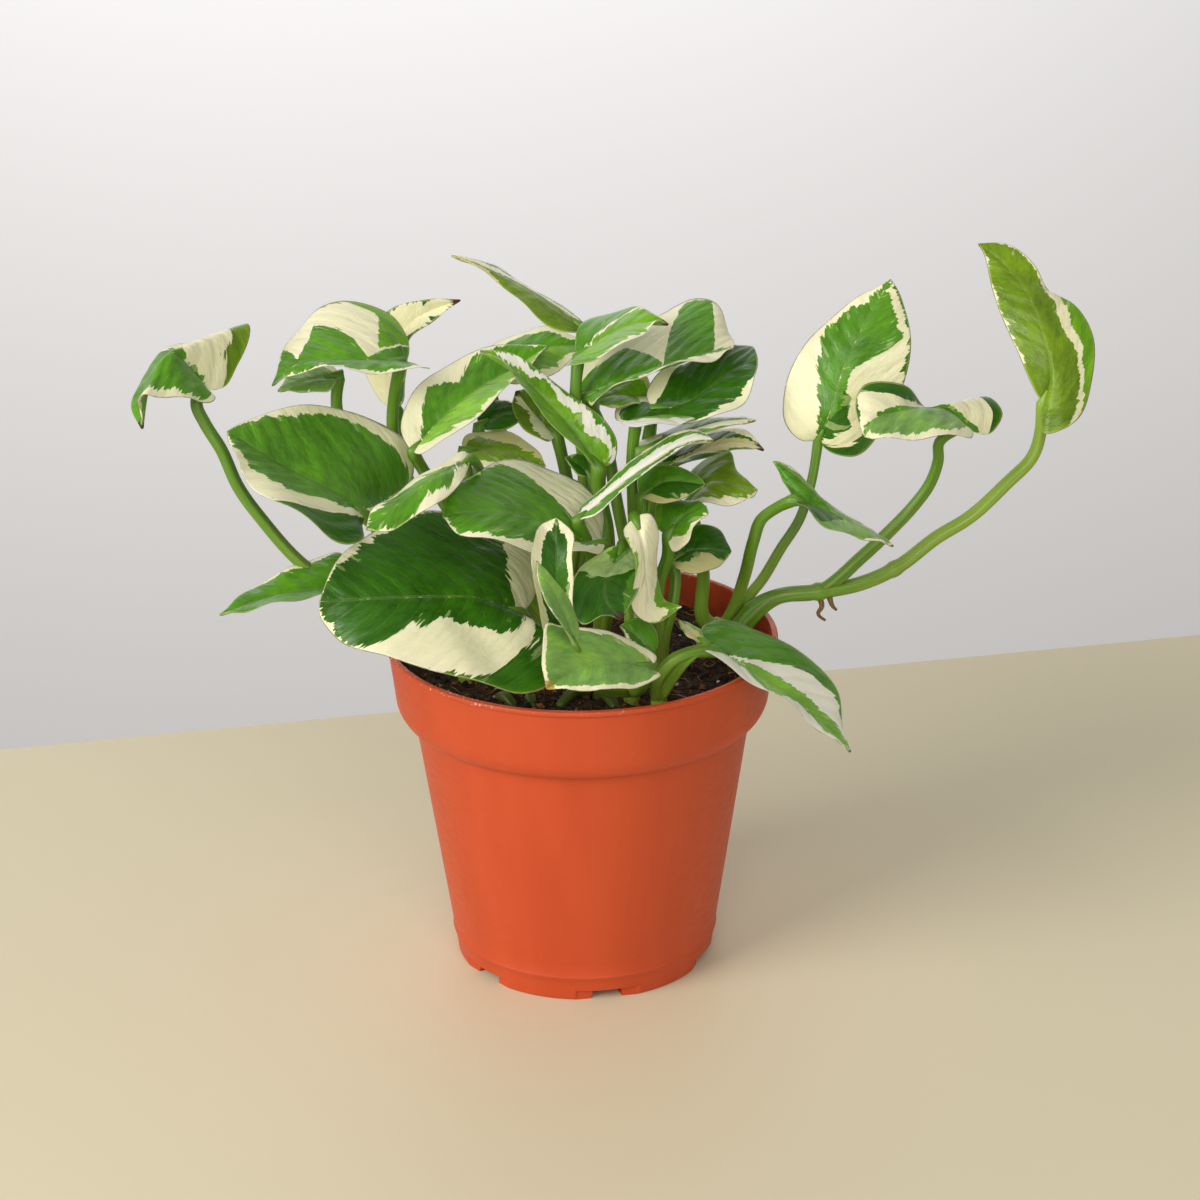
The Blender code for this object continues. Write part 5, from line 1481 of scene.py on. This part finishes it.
STEMS = {
    "stem_far_left": ((-31, -10), far_left),
    "stem_left_back": ((-30, 16), left_back),
    "stem_left_front": ((-14, -10), left_front),
    "stem_centre_back": ((-8, 12), centre_back),
    "stem_centre": ((4, -4), centre),
    "stem_front": ((13, -27), front),
    "stem_right_inner": ((15, 10), right_inner),
    "stem_right_low": ((21, -12), right_low),
    "stem_right_upright": ((37, 13), right_upright),
    "stem_trailing": ((40, 2), trailing),
    "stem_rim": ((20, -32), rim),
}


def make_stem(name, foot, leaves, blade_slot, stalk_slot):
    """One stem with its stalks as one piece, and each of its blades as another."""
    post = [(*foot, z) for z in np.linspace(STEM_FOOT_Z, STEM_TOP_Z, 12)]
    radii = np.full(12, STEM_RADIUS)
    radii[-1] = 0.7 * STEM_RADIUS
    rods = [(rod(post, radii, (0, -1, 0), np.zeros(12)), ("stalk_pale", "stalk_pale"))]
    for spec in leaves:
        rods.append((stalk_rod(spec), spec["tones"]))
    belongs(join_rods(name + "_stalks", rods, stalk_slot), name)
    for k, spec in enumerate(leaves):
        blade = make_blade(name + "_blade_" + str(k + 1), spec, k + len(name), blade_slot)
        belongs(blade, name)


def make_air_roots(slot):
    """Two short air roots that hang from the first joint of the trailing stem."""
    paths = [[(64, 5, 101), (65, 4, 98), (64, 4, 96), (66, 4, 94)], [(67, 5, 101), (68, 4, 98), (69, 4, 97)]]
    rods = []
    for path in paths:
        line = smooth(path, np.linspace(0, 1, 12))
        rods.append((rod(line, np.linspace(0.9, 0.35, 12), (0, -1, 0), np.zeros(12)), ("root", "root")))
    belongs(join_rods("air_roots", rods, slot), "stem_trailing")


def make_stubs(slot):
    """Stubs of old cut stalks in the soil."""
    stubs = [((-22, -24), (4, -5), 1.5), ((1, -21), (-7, -8), 2.0), ((4, -22), (5, -9), 1.5), ((-14, -25), (1, -4), 1.0)]
    rods = []
    for (x, y), (dx, dy), height in stubs:
        arch = [(x, y, SOIL_Z - 2), (x + dx / 4, y + dy / 4, SOIL_Z + height), (x + dx, y + dy, SOIL_Z)]
        line = smooth(arch, np.linspace(0, 1, 14))
        rods.append((rod(line, np.linspace(1.9, 1.3, 14), (0, 0, 1), np.full(14, 0.6)), ("stub", "stub")))
    belongs(join_rods("old_stalk_stubs", rods, slot), "soil")


def make_stage():
    """Table top with its back edge as a slanting line, and a pale wall behind."""
    (x0, y0), (x1, y1) = TABLE_EDGE_LEFT, TABLE_EDGE_RIGHT
    slope = (y1 - y0) / (x1 - x0)
    reach = TABLE_REACH
    back = [(x, y0 + slope * (x - x0)) for x in (-reach, reach)]
    top = [(-reach, -reach, 0), (reach, -reach, 0), (reach, back[1][1], 0), (-reach, back[0][1], 0)]
    table = make_object("table_top", top, [(0, 1, 2, 3)], plain_material("matt_lacquer_table", "#D9D0B2", 0.6, 8.0))
    wall = [(-3 * reach, WALL_Y, -2 * reach), (3 * reach, WALL_Y, -2 * reach), (3 * reach, WALL_Y, 3 * reach),
        (-3 * reach, WALL_Y, 3 * reach)]
    wall = make_object("painted_wall", wall, [(0, 1, 2, 3)], plain_material("matt_wall_paint", "#EDECEC", 0.9, 2.0))


def add_light(name, place, aim, size, power, code="#FFFFFF"):
    """A square soft light at a place, turned towards a point."""
    data = bpy.data.lights.new(name, "AREA")
    data.shape = "SQUARE"
    data.size = size * MM
    data.energy = power
    data.color = linear(code)[:3]
    made = bpy.data.objects.new(name, data)
    place, aim = np.array(place, float), np.array(aim, float)
    back = unit(place - aim)
    right = unit(np.cross((0, 0, 1), back))
    turn = Matrix(np.stack([right, np.cross(back, right), back], 1).tolist()).to_4x4()
    turn.translation = place * MM
    made.matrix_world = turn
    bpy.context.scene.collection.objects.link(made)


def make_lights():
    """A large soft light from the left, a weaker one in front, one that faces the wall, and a pale sky."""
    add_light("window", (-1050, -760, 760), (0, 0, 90), 800, 16.0, "#FFFBF4")
    add_light("front_fill", (100, -1250, 800), (0, 0, 90), 900, 7.5, "#FFFCF8")
    add_light("wall_wash", (-150, 650, 700), (-150, WALL_Y, 600), 900, 9.5, "#FDFDFF")
    world = bpy.data.worlds.new("pale_room")
    bpy.context.scene.world = world
    world.use_nodes = True
    sky = world.node_tree.nodes["Background"]
    sky.inputs[0].default_value = linear("#F4F2F0")
    sky.inputs[1].default_value = 0.36
    bpy.context.scene.view_settings.view_transform = "Standard"


def make_camera():
    """The camera at the photograph's viewing angle."""
    data = bpy.data.cameras.new("camera")
    data.lens = CAMERA_LENS
    data.sensor_width = CAMERA_SENSOR
    data.clip_end = 20
    camera = bpy.data.objects.new("camera", data)
    right, up = np.array(CAMERA_RIGHT), np.array(CAMERA_UP)
    turn = Matrix(np.stack([right, up, np.cross(right, up)], 1).tolist()).to_4x4()
    turn.translation = np.array(CAMERA_PLACE) * MM
    camera.matrix_world = turn
    bpy.context.scene.collection.objects.link(camera)
    bpy.context.scene.camera = camera


def main():
    """Everything but the part's own solids, which the pieces stand for."""
    make_camera()
    make_stage()
    make_lights()
    make_pot()
    make_soil()
    grain_slot = grain_material()
    make_grains(grain_slot)
    make_fibres(grain_slot)
    blade_slot, stalk_slot = leaf_blade_material(), stalk_material()
    make_stubs(stalk_slot)
    for name, (foot, leaves) in STEMS.items():
        make_stem(name, foot, leaves(), blade_slot, stalk_slot)
    make_air_roots(stalk_slot)


main()
